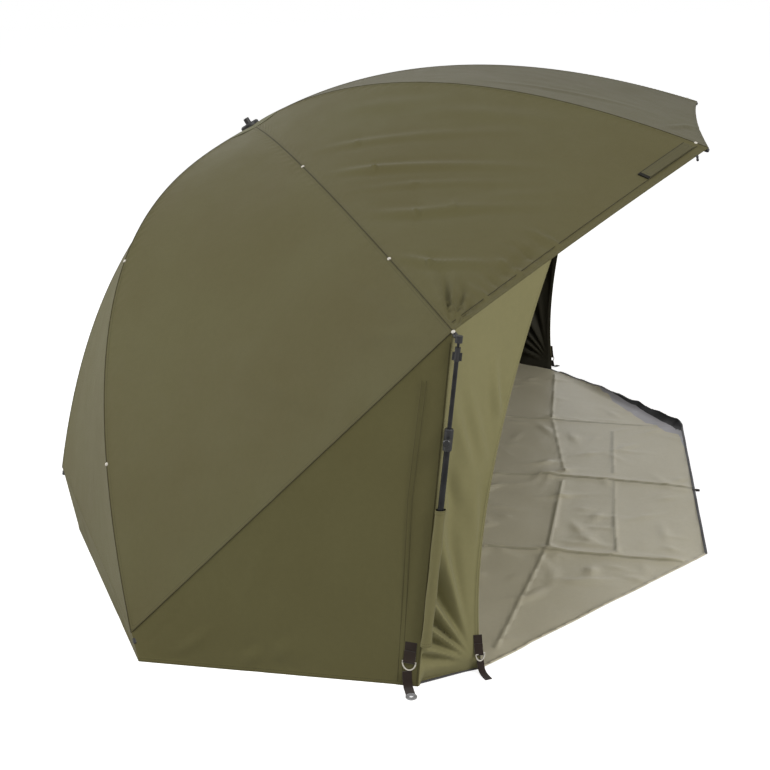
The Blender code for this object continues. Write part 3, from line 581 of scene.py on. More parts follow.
def creased(cut, down, across, creases):
    """How far folds raise a panel: each is (start down, start across, end down, end across, width, height,
    where along it it is fullest), in shares of the panel and metres."""
    lift = np.zeros(cut.shape[:2])
    for start_down, start_across, end_down, end_across, width, height, full in creases:
        ends = [
            place_in(cut, down, across, start_down, start_across),
            place_in(cut, down, across, end_down, end_across),
        ]
        run = ends[1] - ends[0]
        length = np.linalg.norm(run)
        run = run / length
        away = cut - ends[0]
        along = away @ run / length
        off = (away[..., 0] * run[1] - away[..., 1] * run[0]) / width
        fade = np.where(along < full, along / max(full, 1e-6), (1 - along) / max(1 - full, 1e-6))
        fade = np.clip(fade if 0 < full < 1 else (along if full >= 1 else 1 - along), 0, 1)
        fade = np.where((along < -0.02) | (along > 1.02), 0, fade)
        fade = fade * fade * (3 - 2 * fade)
        hat = np.exp(-off ** 2) - 0.3 * np.exp(-(off - 1.7) ** 2) - 0.3 * np.exp(-(off + 1.7) ** 2)
        lift += height * fade * hat
    return lift


def fanned(cut, down, across, foot, folds):
    """How far folds that spread from one foot raise a panel: each is (degrees from straight up, half width
    in degrees, height, and the distances from the foot where it starts, is full and ends)."""
    away = cut - place_in(cut, down, across, *foot)
    reach = np.linalg.norm(away, axis=-1)
    angle = np.degrees(np.arctan2(-away[..., 0], -away[..., 1]))
    lift = np.zeros(cut.shape[:2])
    for turn, half, height, start, full, end in folds:
        along = np.where(reach < full, (reach - start) / (full - start), (end - reach) / (end - full))
        along = np.clip(along, 0, 1)
        lift += height * along * along * (3 - 2 * along) * np.exp(-((angle - turn) / half) ** 2)
    return lift


def rippled(cut, seed, amount, short=0.10, long=0.5, count=9):
    """Soft uneven waves over a panel."""
    draw = np.random.default_rng(seed)
    lift = np.zeros(cut.shape[:2])
    for _ in range(count):
        wave = draw.uniform(short, long)
        turn = draw.uniform(0, pi)
        phase = draw.uniform(0, 2 * pi)
        along = cut[..., 0] * cos(turn) + cut[..., 1] * sin(turn)
        lift += wave / long * np.sin(along * 2 * pi / wave + phase)
    return lift * amount / sqrt(count)


def cloth_mesh(name, points, normals, cut, seam, thickness):
    """A closed sheet of cloth from a grid of outer points, with its flat cut as UV and its seam distances."""
    rows, columns = points.shape[:2]
    shape = bmesh.new()
    bmesh.ops.create_grid(shape, x_segments=columns - 1, y_segments=rows - 1, size=1)
    row_of = shape.verts.layers.int.new("row")
    column_of = shape.verts.layers.int.new("column")
    inner_of = shape.verts.layers.int.new("inner")
    for vert in shape.verts:
        vert[row_of] = round((vert.co.y + 1) / 2 * (rows - 1))
        vert[column_of] = round((vert.co.x + 1) / 2 * (columns - 1))
    made = bmesh.ops.extrude_face_region(shape, geom=shape.faces[:])
    for vert in [item for item in made["geom"] if isinstance(item, bmesh.types.BMVert)]:
        vert[inner_of] = 1
        vert.co.z = -0.1
    bmesh.ops.recalc_face_normals(shape, faces=shape.faces)
    low, mid = rows // 2, columns // 2
    turn = np.cross(points[low + 1, mid] - points[low, mid], points[low, mid - 1] - points[low, mid])
    if np.dot(turn, normals[low, mid]) < 0:
        bmesh.ops.reverse_faces(shape, faces=shape.faces)
    shape.verts.index_update()
    mesh = bpy.data.meshes.new(name)
    shape.to_mesh(mesh)
    shape.free()

    def column(layer):
        """The whole numbers kept for each vertex in one layer."""
        values = np.zeros(len(mesh.vertices), np.int32)
        mesh.attributes[layer].data.foreach_get("value", values)
        return values

    row, place, inner = column("row"), column("column"), column("inner")
    for layer in ("row", "column", "inner"):
        mesh.attributes.remove(mesh.attributes[layer])
    depth = np.broadcast_to(thickness, points.shape[:2])[row, place] * inner
    mesh.vertices.foreach_set("co", (points[row, place] - normals[row, place] * depth[:, None]).ravel())
    mesh.update()
    corner = np.zeros(len(mesh.loops), np.int32)
    mesh.loops.foreach_get("vertex_index", corner)
    sheet_cut = mesh.uv_layers.new(name="cut")
    sheet_cut.data.foreach_set("uv", cut[row, place][corner].astype(np.float32).ravel())
    edge = mesh.attributes.new("seam", "FLOAT_VECTOR", "POINT")
    edge.data.foreach_set("vector", seam[row, place].astype(np.float32).ravel())
    kind = inner[corner].reshape(-1, 4).sum(1)
    mesh.polygons.foreach_set("material_index", (kind == 4).astype(np.int32))
    flat = np.zeros(len(mesh.polygons) * 3)
    mesh.polygons.foreach_get("normal", flat)
    flat = np.repeat(flat.reshape(-1, 3), 4, 0)
    sides = np.repeat(kind, 4)[:, None]
    normal = normals[row, place][corner]
    normal = np.where(sides == 0, normal, np.where(sides == 4, -normal, flat))
    mesh.shade_smooth()
    mesh.normals_split_custom_set(normal.tolist())
    return mesh


def drawn_in(piece, rib, keep):
    """Give a piece of cloth its own copy of its mesh; its rib and the share to keep are not used."""
    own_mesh(piece)


def laid_flat(points, area):
    """Work out a piece's size laid flat along its grid of points and hold its area within it; neither is used
    further.
    """
    flat = (float(spans(points, 1)[:, -1].max()), float(spans(points, 0)[-1].max()))
    whole = flat[0] * flat[1]
    area = float(min(max(area, LEAST_AREA_SHARE * whole), whole))


def cell_areas(points, corner):
    """The area of a grid's cells, each measured at its first or its last corner across."""
    down, across = np.diff(points, axis=0), np.diff(points, axis=1)
    cells = np.cross(down[:, :-1], across[:-1]) if corner == 0 else np.cross(down[:, 1:], across[1:])
    return np.linalg.norm(cells, axis=-1).sum()


def two_halves(node, ribs, keeps):
    """The halves of a panel, each with its name, body, first and last share across and the rib and share
    handed to drawn_in.
    """
    shares = ((0, 0.5), (0.5, 1))
    return [
        (f"{node}_at_{rib.name}", "rib_" + rib.name, *part, (rib, keep) if keep else None)
        for rib, part, keep in zip(ribs, shares, keeps)
    ]


def sewn(node, points, across, inside, lift_of, halves, edges, finishes, thick=CLOTH):
    """One cut of cloth, made whole and then parted into strips that ride on their own bodies. Each strip is
    (name, body, first share across, last share across, (rib, keep) or None)."""
    base = face_on(points, inside)
    along = spans(points, 0)
    wide = spans(points, 1)
    middle = len(across) // 2
    cut = centred_cut(along, wide, middle)
    left, right = wide, wide[:, -1:] - wide
    top = along
    bottom = along[-1:] - along
    lift = lift_of(cut, left, right, top, bottom)
    points = points + base * lift[..., None]
    normals = face_on(points, inside)
    distances = {"left": left, "right": right, "bottom": bottom, "top": top}
    nearest = np.full(points.shape[:2], 1.0)
    run = np.zeros(points.shape[:2])
    for edge in edges:
        near = distances[edge] < nearest
        nearest = np.where(near, distances[edge], nearest)
        run = np.where(near, along if edge in ("left", "right") else wide, run)
    seam = np.stack([run, nearest, np.zeros_like(run)], -1)
    for name, body, first, last, drawn in halves:
        low = int(np.argmin(abs(across - first)))
        high = int(np.argmin(abs(across - last))) + 1
        part = points[:, low:high]
        mesh = cloth_mesh(name, part, normals[:, low:high], cut[:, low:high], seam[:, low:high], thick)
        piece = ridden(linked(name, mesh, finishes), body, node)
        if drawn:
            drawn_in(piece, *drawn)
        laid_flat(part, (cell_areas(part, 0) + cell_areas(part, 1)) / 2)


def eased(distance, reach):
    """0 at an edge and 1 from a reach away."""
    share = np.clip(distance / reach, 0, 1)
    return share * share * (3 - 2 * share)


def hemmed(*distances):
    """The step of a folded hem or a felled seam along the nearest edge."""
    near = np.minimum.reduce(distances)
    return HEM_RISE * (1 - np.clip((near - HEM_WIDTH) / HEM_SLOPE, 0, 1))


FOLD_FULLNESS = 1.5
FAN_FULLNESS = 2.0
LONG_FOLDS = [
    ((0.400, 0.900), (0.500, 0.640), (0.820, 0.180), 0.017, 0.0024),
    ((0.500, 0.965), (0.600, 0.740), (0.910, 0.300), 0.016, 0.0042),
    ((0.585, 0.970), (0.700, 0.700), (0.915, 0.380), 0.013, 0.0018),
    ((0.660, 0.985), (0.760, 0.800), (0.965, 0.420), 0.017, 0.0040),
    ((0.795, 0.993), (0.870, 0.910), (0.995, 0.690), 0.014, 0.0048),
    ((0.700, 0.880), (0.800, 0.680), (0.960, 0.330), 0.024, 0.0020),
]
FRONT_FOLDS = [
    (0.300, 0.500, 0.620, 0.120, 0.030, 0.0018, 0.50),
    (0.480, 0.350, 0.860, 0.080, 0.028, 0.0018, 0.50),
    (0.968, 0.600, 0.972, 0.885, 0.015, -0.0040, 0.45),
]
for start, peak, end, width, height in LONG_FOLDS:
    FRONT_FOLDS += [(*start, *peak, width, height, 1.0), (*peak, *end, width, height, 0.0)]
HEM_FOLD_SHARES = (0.955, 0.915, 0.865, 0.81, 0.745, 0.675, 0.60)
HEM_FOLD_HEIGHTS = (0.0050, -0.0042)
for index, place in enumerate(HEM_FOLD_SHARES):
    height = HEM_FOLD_HEIGHTS[index % 2]
    FRONT_FOLDS.append((1.0, place, 0.940 - 0.004 * index, place + 0.014, 0.011, height, 0.30))
SIDE_FOLDS = [
    (0.865, 0.242, 0.990, 0.020, 0.022, 0.0030, 0.6),
    (0.800, 0.560, 0.985, 0.300, 0.026, 0.0018, 0.5),
    (0.720, 0.180, 0.960, 0.015, 0.020, 0.0022, 0.6),
]
PEAK_FOLDS = [(1.0, 0.38, 0.93, 0.06, 0.014, 0.0035, 0.4), (0.55, 0.2, 0.95, 0.35, 0.03, 0.002, 0.5)]
POLE_CORNER_FAN = [
    (32.0, 4.0, 0.0045, 0.03, 0.11, 0.32),
    (40.0, 3.4, -0.0055, 0.03, 0.10, 0.30),
    (47.0, 3.6, 0.0062, 0.02, 0.09, 0.27),
    (55.0, 3.6, -0.0050, 0.02, 0.08, 0.21),
    (62.0, 3.8, 0.0052, 0.02, 0.07, 0.17),
    (70.0, 4.0, -0.0040, 0.02, 0.06, 0.13),
    (78.0, 4.0, 0.0036, 0.02, 0.05, 0.10),
]
FRONT_HOLLOW = 0.012
SIDE_HOLLOW = 0.004
FRONT_KEEPS = (0.68, 0.68)
REAR_KEEPS = (0.70, 0.70)
FRONT_SIDE_KEEPS = (0.62, None)
SIDE_KEEPS = (None, 0.60)
REAR_SIDE_KEEPS = (0.75, 0.78)
GORES = [
    ("gore_front", (LEFT[0], RIGHT[0]), FRONT_HOLLOW, PEAK_FOLDS, FRONT_KEEPS),
    ("gore_rear", (LEFT[3], RIGHT[3]), 0.0, [], REAR_KEEPS),
]
for ribs, name in SIDES:
    GORES.append(("gore_front_" + name, ribs[:2], SIDE_HOLLOW, FRONT_FOLDS, FRONT_SIDE_KEEPS))
    GORES.append(("gore_side_" + name, ribs[1:3], 0.0, SIDE_FOLDS, SIDE_KEEPS))
    GORES.append(("gore_rear_" + name, ribs[2:], 0.0, [], REAR_SIDE_KEEPS))
PUCKER_PITCH = 0.034
PUCKER_RISE = 0.0006
PUCKER_FROM_SEAM = 0.018
PUCKER_REACH = 0.012

INSIDE = np.array((0, 0.1, 0.35))
for index, (node, (first, second), hollow, folds, keeps) in enumerate(GORES):
    hem_width = float(np.linalg.norm(on_rib(first, 1) - on_rib(second, 1)))
    rib_length = float(spans(on_rib(second, np.linspace(0, 1, 200))[:, None], 0)[-1, 0])
    across = stepped(hem_width, SEAM_EDGE, SEAM_EDGE)
    down = stepped(rib_length, (0, 0.006), SEAM_EDGE)
    points = gore_points(first, second, down[:, None], across[None, :], hollow)
    free_hem = hollow > 0

    def lift_of(cut, left, right, top, bottom):
        ribs_hold = eased(left, 0.07) * eased(right, 0.07)
        hem_holds = eased(bottom + (0.03 if free_hem else 0), 0.06)
        soft = rippled(cut, 11 + index, 0.0016) * ribs_hold * hem_holds
        waves = np.sin(bottom * 2 * pi / PUCKER_PITCH + np.sin(bottom * 9) * 2) * PUCKER_RISE
        near = [np.exp(-((edge - PUCKER_FROM_SEAM) / PUCKER_REACH) ** 2) for edge in (left, right)]
        pucker = waves * (near[0] + near[1])
        raised = creased(cut, down, across, folds) * FOLD_FULLNESS * eased(left, 0.02) * eased(right, 0.02)
        if folds is FRONT_FOLDS:
            fan = fanned(cut, down, across, (1.0, 1.0), POLE_CORNER_FAN)
            raised = raised + fan * FAN_FULLNESS * eased(right, 0.014) * (0.3 + 0.7 * eased(bottom, 0.02))
        if not free_hem:
            raised = raised * eased(bottom, 0.02)
        return soft + pucker + raised + hemmed(left, right, bottom)

    outside = FRONT_SHADED_OUTSIDE if node == "gore_front" else COVER_OUTSIDE
    sewn(
        node, points, across, INSIDE, lift_of, two_halves(node, (first, second), keeps),
        ("left", "right", "bottom"),
        [outside, COVER_INSIDE_SHADE],
    )

# Seam beads: the doubled thread and the folded edge of the cloth, which stand along each rib on the outside
# of the cover, where the two gores are felled together. Their dark colour is partly the thread and partly
# painted shade in the fold of the seam.
BEAD_RADIUS = 0.0013
THREAD_AND_SHADE_BEAD = woven("bead_thread", (0.045, 0.038, 0.018), (0.060, 0.052, 0.026), 0.0008, 0.8, 0.1, 0.1, False)


def bead_along(name, line, radius, finish, body):
    """A bead of thread, tape or painted shade along a line of points."""
    return ridden(linked(name, tube_mesh(name, line, radius, sides=1), [finish], 60), body)


for rib in LEFT + RIGHT:
    run = np.linspace(cloth_share(rib, 0.02), cloth_share(rib, 1), 90)
    line = on_rib(rib, run, -0.0006)
    bead_along("seam_bead_" + rib.name, line, BEAD_RADIUS, THREAD_AND_SHADE_BEAD, "rib_" + rib.name)

# Hub patch: a round reinforcement of slightly lighter cloth, sewn over the middle of the cover. It is made
# in eight wedges, one on each rib.
PATCH_RADIUS = 0.128
PATCH_START = 0.046
PATCH_CLOTH = woven("patch_cloth", (0.150, 0.145, 0.070), (0.165, 0.160, 0.082))
ROUND = LEFT + RIGHT[::-1]
PATCH_RISE = 0.0016
PATCH_HOLLOW_SHARE = 0.16
PATCH_THICKNESS = 0.0010
PATCH_KEEP = 0.8
for index, rib in enumerate(ROUND):
    before, after = ROUND[index - 1], ROUND[(index + 1) % len(ROUND)]
    half = np.linspace(0, 0.5, 9)
    down = np.concatenate([np.linspace(0, 0.93, 9), (0.95, 0.975, 1.0)])
    strips = []
    for other in (before, after):
        rows = []
        for step in down:
            radius = PATCH_START + (PATCH_RADIUS - PATCH_START) * step
            row = []
            for share in half:
                reach = radius / (1 - PATCH_HOLLOW_SHARE * 4 * share * (1 - share) * 0.5)
                start = on_rib(rib, reach / rib.reach, -PATCH_RISE)
                end = on_rib(other, reach / other.reach, -PATCH_RISE)
                row.append(start + (end - start) * share)
            rows.append(row)
        strips.append(np.array(rows))
    points = np.concatenate([strips[0][:, ::-1], strips[1][:, 1:]], 1)
    piece_name = "hub_patch_" + rib.name
    along, wide = spans(points, 0), spans(points, 1)
    cut = centred_cut(along, wide, points.shape[1] // 2)
    seam = np.stack([wide, along[-1:] - along, np.zeros_like(wide)], -1)
    mesh = cloth_mesh(piece_name, points, face_on(points, INSIDE), cut, seam, PATCH_THICKNESS)
    patch = ridden(linked(piece_name, mesh, [PATCH_CLOTH, COVER_INSIDE_SHADE]), "rib_" + rib.name)
    drawn_in(patch, rib, PATCH_KEEP)
    laid_flat(points, cell_areas(points, 0))

# Front hem: a broad folded hem with a dark line along it, partly thread and partly painted shade, a tape
# pocket sewn on beside each front rib with its open end towards the pole, with a strip of painted shadow
# over that open end, and a small black toggle on the edge.
HEM_LINE_SHARE = 0.9865
POCKET = ((0.0200, 0.9690), (0.2150, 0.9850))
POCKET_RISE = 0.0026
HEM_LINE_RADIUS = 0.0009
HEM_LINES = (("front", 0, 0.012, 0.5), ("side", 1, 0.5, 0.985))
POCKET_LINE_RADIUS = 0.0011
MOUTH_WIDTH = 0.009
TAPE_AREA_SHARE = 0.97
TOGGLE_SHARE = 0.058
TOGGLE_DROP = 0.0045
TAPE = woven("pocket_tape", (0.100, 0.090, 0.042), (0.120, 0.110, 0.054), 0.0016, 0.7, 0.15, 0.2)
SLOT_SHADE = woven("dark_slot", (0.012, 0.011, 0.008), (0.018, 0.016, 0.011), 0.0016, 0.8, 0.1, 0.2, False)


def sewn_on(name, ribs, spread, fall, rise, finish):
    """A small strip sewn on a front side gore, between shares across it and down it: the pocket's tape, and
    the strip of painted shadow at its mouth.
    """
    across = np.linspace(*spread, 25)
    down = np.linspace(*fall, 9)
    points = gore_points(ribs[0], ribs[1], down[:, None], across[None, :], SIDE_HOLLOW, -rise)
    along, wide = spans(points, 0), spans(points, 1)
    cut = np.stack([wide, along], -1)
    far = np.minimum.reduce([along, along[-1:] - along, wide, wide[:, -1:] - wide])
    seam = np.stack([wide, far, np.zeros_like(wide)], -1)
    mesh = cloth_mesh(name, points, face_on(points, INSIDE), cut, seam, rise - 0.0004)
    piece = ridden(linked(name, mesh, [finish, finish]), "rib_" + ribs[0].name)
    drawn_in(piece, ribs[0], FRONT_SIDE_KEEPS[0])
    whole = wide[:, -1].max() * along[-1].max()
    laid_flat(points, TAPE_AREA_SHARE * whole)


for ribs, name in SIDES:
    body = "rib_" + ribs[0].name
    for half, index, low, high in HEM_LINES:
        run = np.linspace(low, high, 80)
        line = gore_points(ribs[0], ribs[1], HEM_LINE_SHARE, run, SIDE_HOLLOW, -0.0012)
        line_name = f"hem_line_{half}_{name}"
        bead = bead_along(line_name, line, HEM_LINE_RADIUS, THREAD_AND_SHADE_BEAD, "rib_" + ribs[index].name)
        if half == "front":
            drawn_in(bead, ribs[0], FRONT_SIDE_KEEPS[0])
    (start, top), (end, bottom) = POCKET
    sewn_on("hem_pocket_" + name, ribs, (start, end), (top, bottom), POCKET_RISE, TAPE)
    mouth = (end - 0.001, end + MOUTH_WIDTH)
    # The mouth is a near-black strip: painted shadow inside the pocket's open end.
    sewn_on("pocket_mouth_" + name, ribs, mouth, (top - 0.001, bottom), POCKET_RISE + 0.0004, SLOT_SHADE)
    line = gore_points(ribs[0], ribs[1], top - 0.0006, np.linspace(start, end, 30), SIDE_HOLLOW, -0.0014)
    # The dark line along the pocket's top is drawn in the same painted-shade finish.
    bead = bead_along("pocket_line_" + name, line, POCKET_LINE_RADIUS, SLOT_SHADE, body)
    drawn_in(bead, ribs[0], FRONT_SIDE_KEEPS[0])
    base = gore_points(ribs[0], ribs[1], 1.0, TOGGLE_SHARE, SIDE_HOLLOW)
    beyond = base - gore_points(ribs[0], ribs[1], 0.99, TOGGLE_SHARE, SIDE_HOLLOW)
    shape = bmesh.new()
    half_barrel = [(0, 0.0085), (0.0022, 0.0078), (0.0033, 0.006), (0.0034, 0.002), (0.0028, 0.0008)]
    barrel = [(radius, -height) for radius, height in half_barrel] + half_barrel[::-1]
    turned(shape, barrel, 20, placed(base + unit(beyond) * TOGGLE_DROP - AXIS * 0.002, AHEAD, (0.1, 0.1, 1)))
    ridden(from_shape("hem_toggle_" + name, shape, [BLACK_NYLON], 50), body)

# Walls: sheets of the same cloth that hang from the hem to the ground on the side, corner and rear ribs.
# They are sewn on under the hem, and a stitched strip stiffens the front edge of each side wall.
WALL_FRONT = (1.467, -0.258)
WALL_CORNER = (1.395, 0.443)
WALL_REAR = (0.522, 0.908)
WALL_TUCK = 0.0006


def ground(spot, side):
    """A place on the ground, given for the right side."""
    return np.array((spot[0] * side, spot[1], 0.0))


def wall(node, ribs, start, end, side_rise, keeps, folds, seed):
    """A wall under the hem between two ribs, down to the ground line between two corners."""
    first, second = ribs
    height = float(np.linalg.norm(start - gore_points(first, second, 1.0, 0.0)))
    across = stepped(float(np.linalg.norm(end - start)), SEAM_EDGE, SEAM_EDGE)
    down = stepped(max(height, 0.3), (0, 0.01), SEAM_EDGE)
    top = gore_points(first, second, np.ones_like(across), across, 0.0, WALL_TUCK)
    bottom_line = start + (end - start) * across[:, None]
    points = top[None] + (bottom_line - top)[None] * down[:, None, None]
    from_edge = np.linalg.norm(np.cross(points - start, unit(top[0] - start)), axis=-1)

    def lift(cut, left, right, top, bottom):
        held = eased(left, 0.06) * eased(right, 0.06) * eased(top, 0.06) * eased(bottom, 0.02)
        soft = rippled(cut, seed, 0.0022) * held + creased(cut, down, across, folds) * eased(top, 0.02)
        strip = side_rise(from_edge, points[..., 2]) * eased(top, 0.02)
        return soft + hemmed(bottom) * eased(top, 0.01) + strip

    sewn(
        node, points, across, INSIDE, lift, two_halves(node, ribs, keeps),
        ("bottom",), [WALL_OUTSIDE, COVER_INSIDE_SHADE],
    )


def plain_rise(from_edge, height):
    """No strip along the front edge."""
    return np.zeros(from_edge.shape)


def strip_width(height):
    """The strip along the wall's front edge is a little wider at half height than at its ends."""
    return np.interp(height, (0, 0.25, 0.45, 0.84), (0.052, 0.060, 0.068, 0.058))


def strip_rise(from_edge, height):
    """The step of the strip, which falls off over a few millimetres."""
    return STRIP_RISE * (1 - np.clip((from_edge - strip_width(height)) / 0.003, 0, 1))


WALL_OUTSIDE = woven("wall_outside", (0.114, 0.101, 0.040), (0.124, 0.113, 0.047))
STRIP_RISE = 0.0013
STRIP_STITCH_AND_SHADE_INSETS = (0.002, 0.0125, None)
STRIP_LINE_RADIUS = 0.0007
EDGE_SHADE_LINE_IN = 0.0035
STRIP_COLOURS = ((0.072, 0.063, 0.027), (0.085, 0.075, 0.034))
STRIP_THREAD_AND_SHADE = woven("strip_thread", *STRIP_COLOURS, 0.0008, 0.8, 0.1, 0.1, False)
SIDE_WALL_FOLDS = [
    (0.932, 0.638, 0.878, 0.522, 0.022, 0.0040, 0.5),
    (0.880, 0.530, 0.880, 0.410, 0.022, 0.0036, 0.4),
    (0.550, 0.700, 0.900, 0.880, 0.030, 0.0026, 0.5),
    (0.300, 0.300, 0.850, 0.260, 0.040, 0.0022, 0.5),
    (0.120, 0.560, 0.620, 0.620, 0.035, 0.0020, 0.5),
]
SIDE_FLAP_FOLDS = [(0.2, 0.3, 0.9, 0.2, 0.03, 0.003, 0.5), (0.1, 0.7, 0.8, 0.8, 0.03, 0.003, 0.5)]
REAR_FLAP_FOLDS = [(0.1, 0.3, 0.9, 0.35, 0.03, 0.003, 0.5), (0.2, 0.7, 0.9, 0.62, 0.03, 0.003, 0.5)]
for ribs, name in SIDES:
    side = ribs[0].side
    front, corner, rear = (ground(spot, side) for spot in (WALL_FRONT, WALL_CORNER, WALL_REAR))
    wall("side_wall_" + name, ribs[1:3], front, corner, strip_rise, SIDE_KEEPS, SIDE_WALL_FOLDS, 31)
    wall("rear_flap_" + name, ribs[2:], corner, rear, plain_rise, REAR_SIDE_KEEPS, SIDE_FLAP_FOLDS, 41)
    near_top = gore_points(ribs[1], ribs[2], 1.0, 0.0, 0.0, WALL_TUCK)
    edge_line = unit(near_top - front)
    level_back = unit((corner - front) - edge_line * ((corner - front) @ edge_line))
    outside = np.array((side * (STRIP_RISE + 0.0008), 0, 0))
    # The first two lines are the strip's stitches; the third, just in from the edge, is a line of painted
    # shadow for the gap between the wall's edge and the sleeve.
    for index, inset in enumerate(STRIP_STITCH_AND_SHADE_INSETS):
        rise = np.linspace(0.86 if inset else 0.97, 0.004, 60)[:, None]
        line = front + (near_top - front) * rise
        width = strip_width(line[:, 2]) - inset if inset else np.full(60, EDGE_SHADE_LINE_IN)
        line = line + level_back * width[:, None] + outside
        line_name = f"strip_line_{index}_{name}"
        bead_along(line_name, line, STRIP_LINE_RADIUS, STRIP_THREAD_AND_SHADE, "rib_" + ribs[1].name)
    line = gore_points(ribs[1], ribs[2], 1.0, np.linspace(0.004, 0.996, 120), 0.0, -0.0004)
    for part, rib, low, high in (("front", ribs[1], 0, 61), ("rear", ribs[2], 60, 120)):
        bead_name = f"hem_bead_{part}_{name}"
        bead = bead_along(bead_name, line[low:high], BEAD_RADIUS, THREAD_AND_SHADE_BEAD, "rib_" + rib.name)
        if rib is ribs[2]:
            drawn_in(bead, rib, SIDE_KEEPS[1])
rear_corners = (ground(WALL_REAR, -1), ground(WALL_REAR, 1))
wall("rear_flap", (LEFT[3], RIGHT[3]), *rear_corners, plain_rise, REAR_KEEPS, REAR_FLAP_FOLDS, 51)

# Front wings: lighter cloth that runs from the hem ahead of each pole to a foot on the ground, where it
# is drawn together in a fan of folds and held by a webbing tab.
WING_FOOT = (1.379, -0.399)
WING_TOP_SHARE = 0.35
WING_HOLLOW = 0.078
WING_BELLY = 0.0072
WING_FOLDED_SHARE = 0.84
WING_GATHER = 1.6
WING_TUCK_UNDER = 0.016
WING_FAN_FOOT = (0.985, 0.930)
WING_FAN = [
    (14.0, 3.2, -0.0085, 0.08, 0.34, 0.66),
    (20.0, 3.0, 0.0110, 0.06, 0.28, 0.58),
    (27.0, 3.8, -0.0210, 0.05, 0.25, 0.56),
    (34.0, 3.0, 0.0120, 0.04, 0.21, 0.40),
    (39.5, 3.4, -0.0165, 0.04, 0.19, 0.37),
    (45.5, 3.2, 0.0100, 0.04, 0.17, 0.29),
    (52.0, 4.2, -0.0145, 0.04, 0.16, 0.27),
    (60.0, 4.0, 0.0080, 0.04, 0.15, 0.24),
    (68.0, 5.0, -0.0130, 0.03, 0.14, 0.24),
]
WING_FAN_FULLNESS = 1.5
WING_CREASE_FULLNESS = 1.9
WING_CREASES = [
    (0.150, 0.030, 0.520, 0.740, 0.017, 0.0050, 0.5),
    (0.120, 0.180, 0.500, 0.930, 0.016, 0.0040, 0.6),
    (0.220, 0.600, 0.370, 0.930, 0.013, 0.0042, 0.6),
    (0.130, 0.520, 0.330, 0.800, 0.013, 0.0026, 0.6),
    (0.300, 0.050, 0.620, 0.520, 0.018, -0.0050, 0.5),
    (0.420, 0.500, 0.720, 0.880, 0.020, 0.0040, 0.5),
    (0.400, 0.060, 0.560, 0.260, 0.016, 0.0040, 0.5),
]
WING_OUTSIDE = woven("wing_outside", (0.215, 0.198, 0.092), (0.240, 0.222, 0.106), sheen=0.1)
# The wing's inner face is near black: painted shade for its dim inside, also used inside the pole sleeves.
WING_INSIDE_SHADE = woven("wing_inside", (0.040, 0.037, 0.026), (0.048, 0.045, 0.032), sheen=0.05)
BEHIND_WINGS = np.array((0, 0.3, 0.4))
wing_faces = {}
for ribs, name in SIDES:
    side = ribs[0].side
    front, foot = ground(WALL_FRONT, side), ground(WING_FOOT, side)
    wing_line = unit(foot - front)
    inward = np.cross(wing_line, (0, 0, 1)) * side

    def wing_at(fall, share, ribs=ribs, front=front, foot=foot, inward=inward):
        """The wing's outer face at shares down and from the pole to its free edge."""
        fall, share = np.broadcast_arrays(np.asarray(fall, float), np.asarray(share, float))
        top = gore_points(ribs[1], ribs[0], 1.0, share * WING_TOP_SHARE, SIDE_HOLLOW, WALL_TUCK)
        bottom = front + (foot - front) * (1 - (1 - share) ** WING_GATHER)[..., None]
        point = top + (bottom - top) * fall[..., None]
        near, far = (gore_points(ribs[1], ribs[0], 1.0, end, SIDE_HOLLOW) for end in (0.0, WING_TOP_SHARE))
        back = (near - far) + ((front - foot) - (near - far)) * fall[..., None]
        back = back * (1, 1, 0)
        hollow = unit(back) * (WING_HOLLOW * 4 * fall * (1 - fall) * share)[..., None]
        depth = (1 - (1 - fall) ** 2) * (1 - 0.5 * fall ** 4) * eased(share, 0.2) * eased(1 - share, 0.2)
        return point + hollow + inward * (WING_BELLY * depth)[..., None]

    wing_faces[side] = wing_at
    across = stepped(0.52, (0, 0.004), SEAM_EDGE, 0.006)
    down = stepped(0.95, (0, 0.01), SEAM_EDGE, 0.008)
    points = wing_at(down[:, None], across[None, :])

    def lift_of(cut, left, right, top, bottom):
        held = eased(left, 0.012) * eased(right, 0.03) * eased(top, 0.05)
        fan = fanned(cut, down, across, WING_FAN_FOOT, WING_FAN) * WING_FAN_FULLNESS
        fan = fan * held * eased(bottom - 0.012, 0.03)
        long_folds = creased(cut, down, across, WING_CREASES) * WING_CREASE_FULLNESS
        long_folds = long_folds * held * eased(bottom, 0.04)
        tucked = -WING_TUCK_UNDER * (1 - eased(bottom, 0.055)) ** 1.5 * eased(left, 0.02)
        return hemmed(right, bottom) + rippled(cut, 61, 0.0012) * held + fan + long_folds + tucked

    sewn(
        "wing_" + name, points, across, BEHIND_WINGS, lift_of,
        [("wing_cloth_" + name, "rib_" + ribs[1].name, 0, 1, None)],
        ("right", "bottom"), [WING_OUTSIDE, WING_INSIDE_SHADE],
    )

# Side poles: a threaded black steel upper tube in the tip of each side rib and a lower tube with a spike
# that slides over it, held by a moulded clamp with a lobed knob; a butterfly nut locks the thread.
for name in ("left", "right"):
    for node in ("pole_upper_", "pole_lower_"):
        dressed(node + name, COATED_STEEL)
    for node in ("pole_clamp_", "clamp_knob_", "butterfly_nut_"):
        dressed(node + name, BLACK_NYLON)

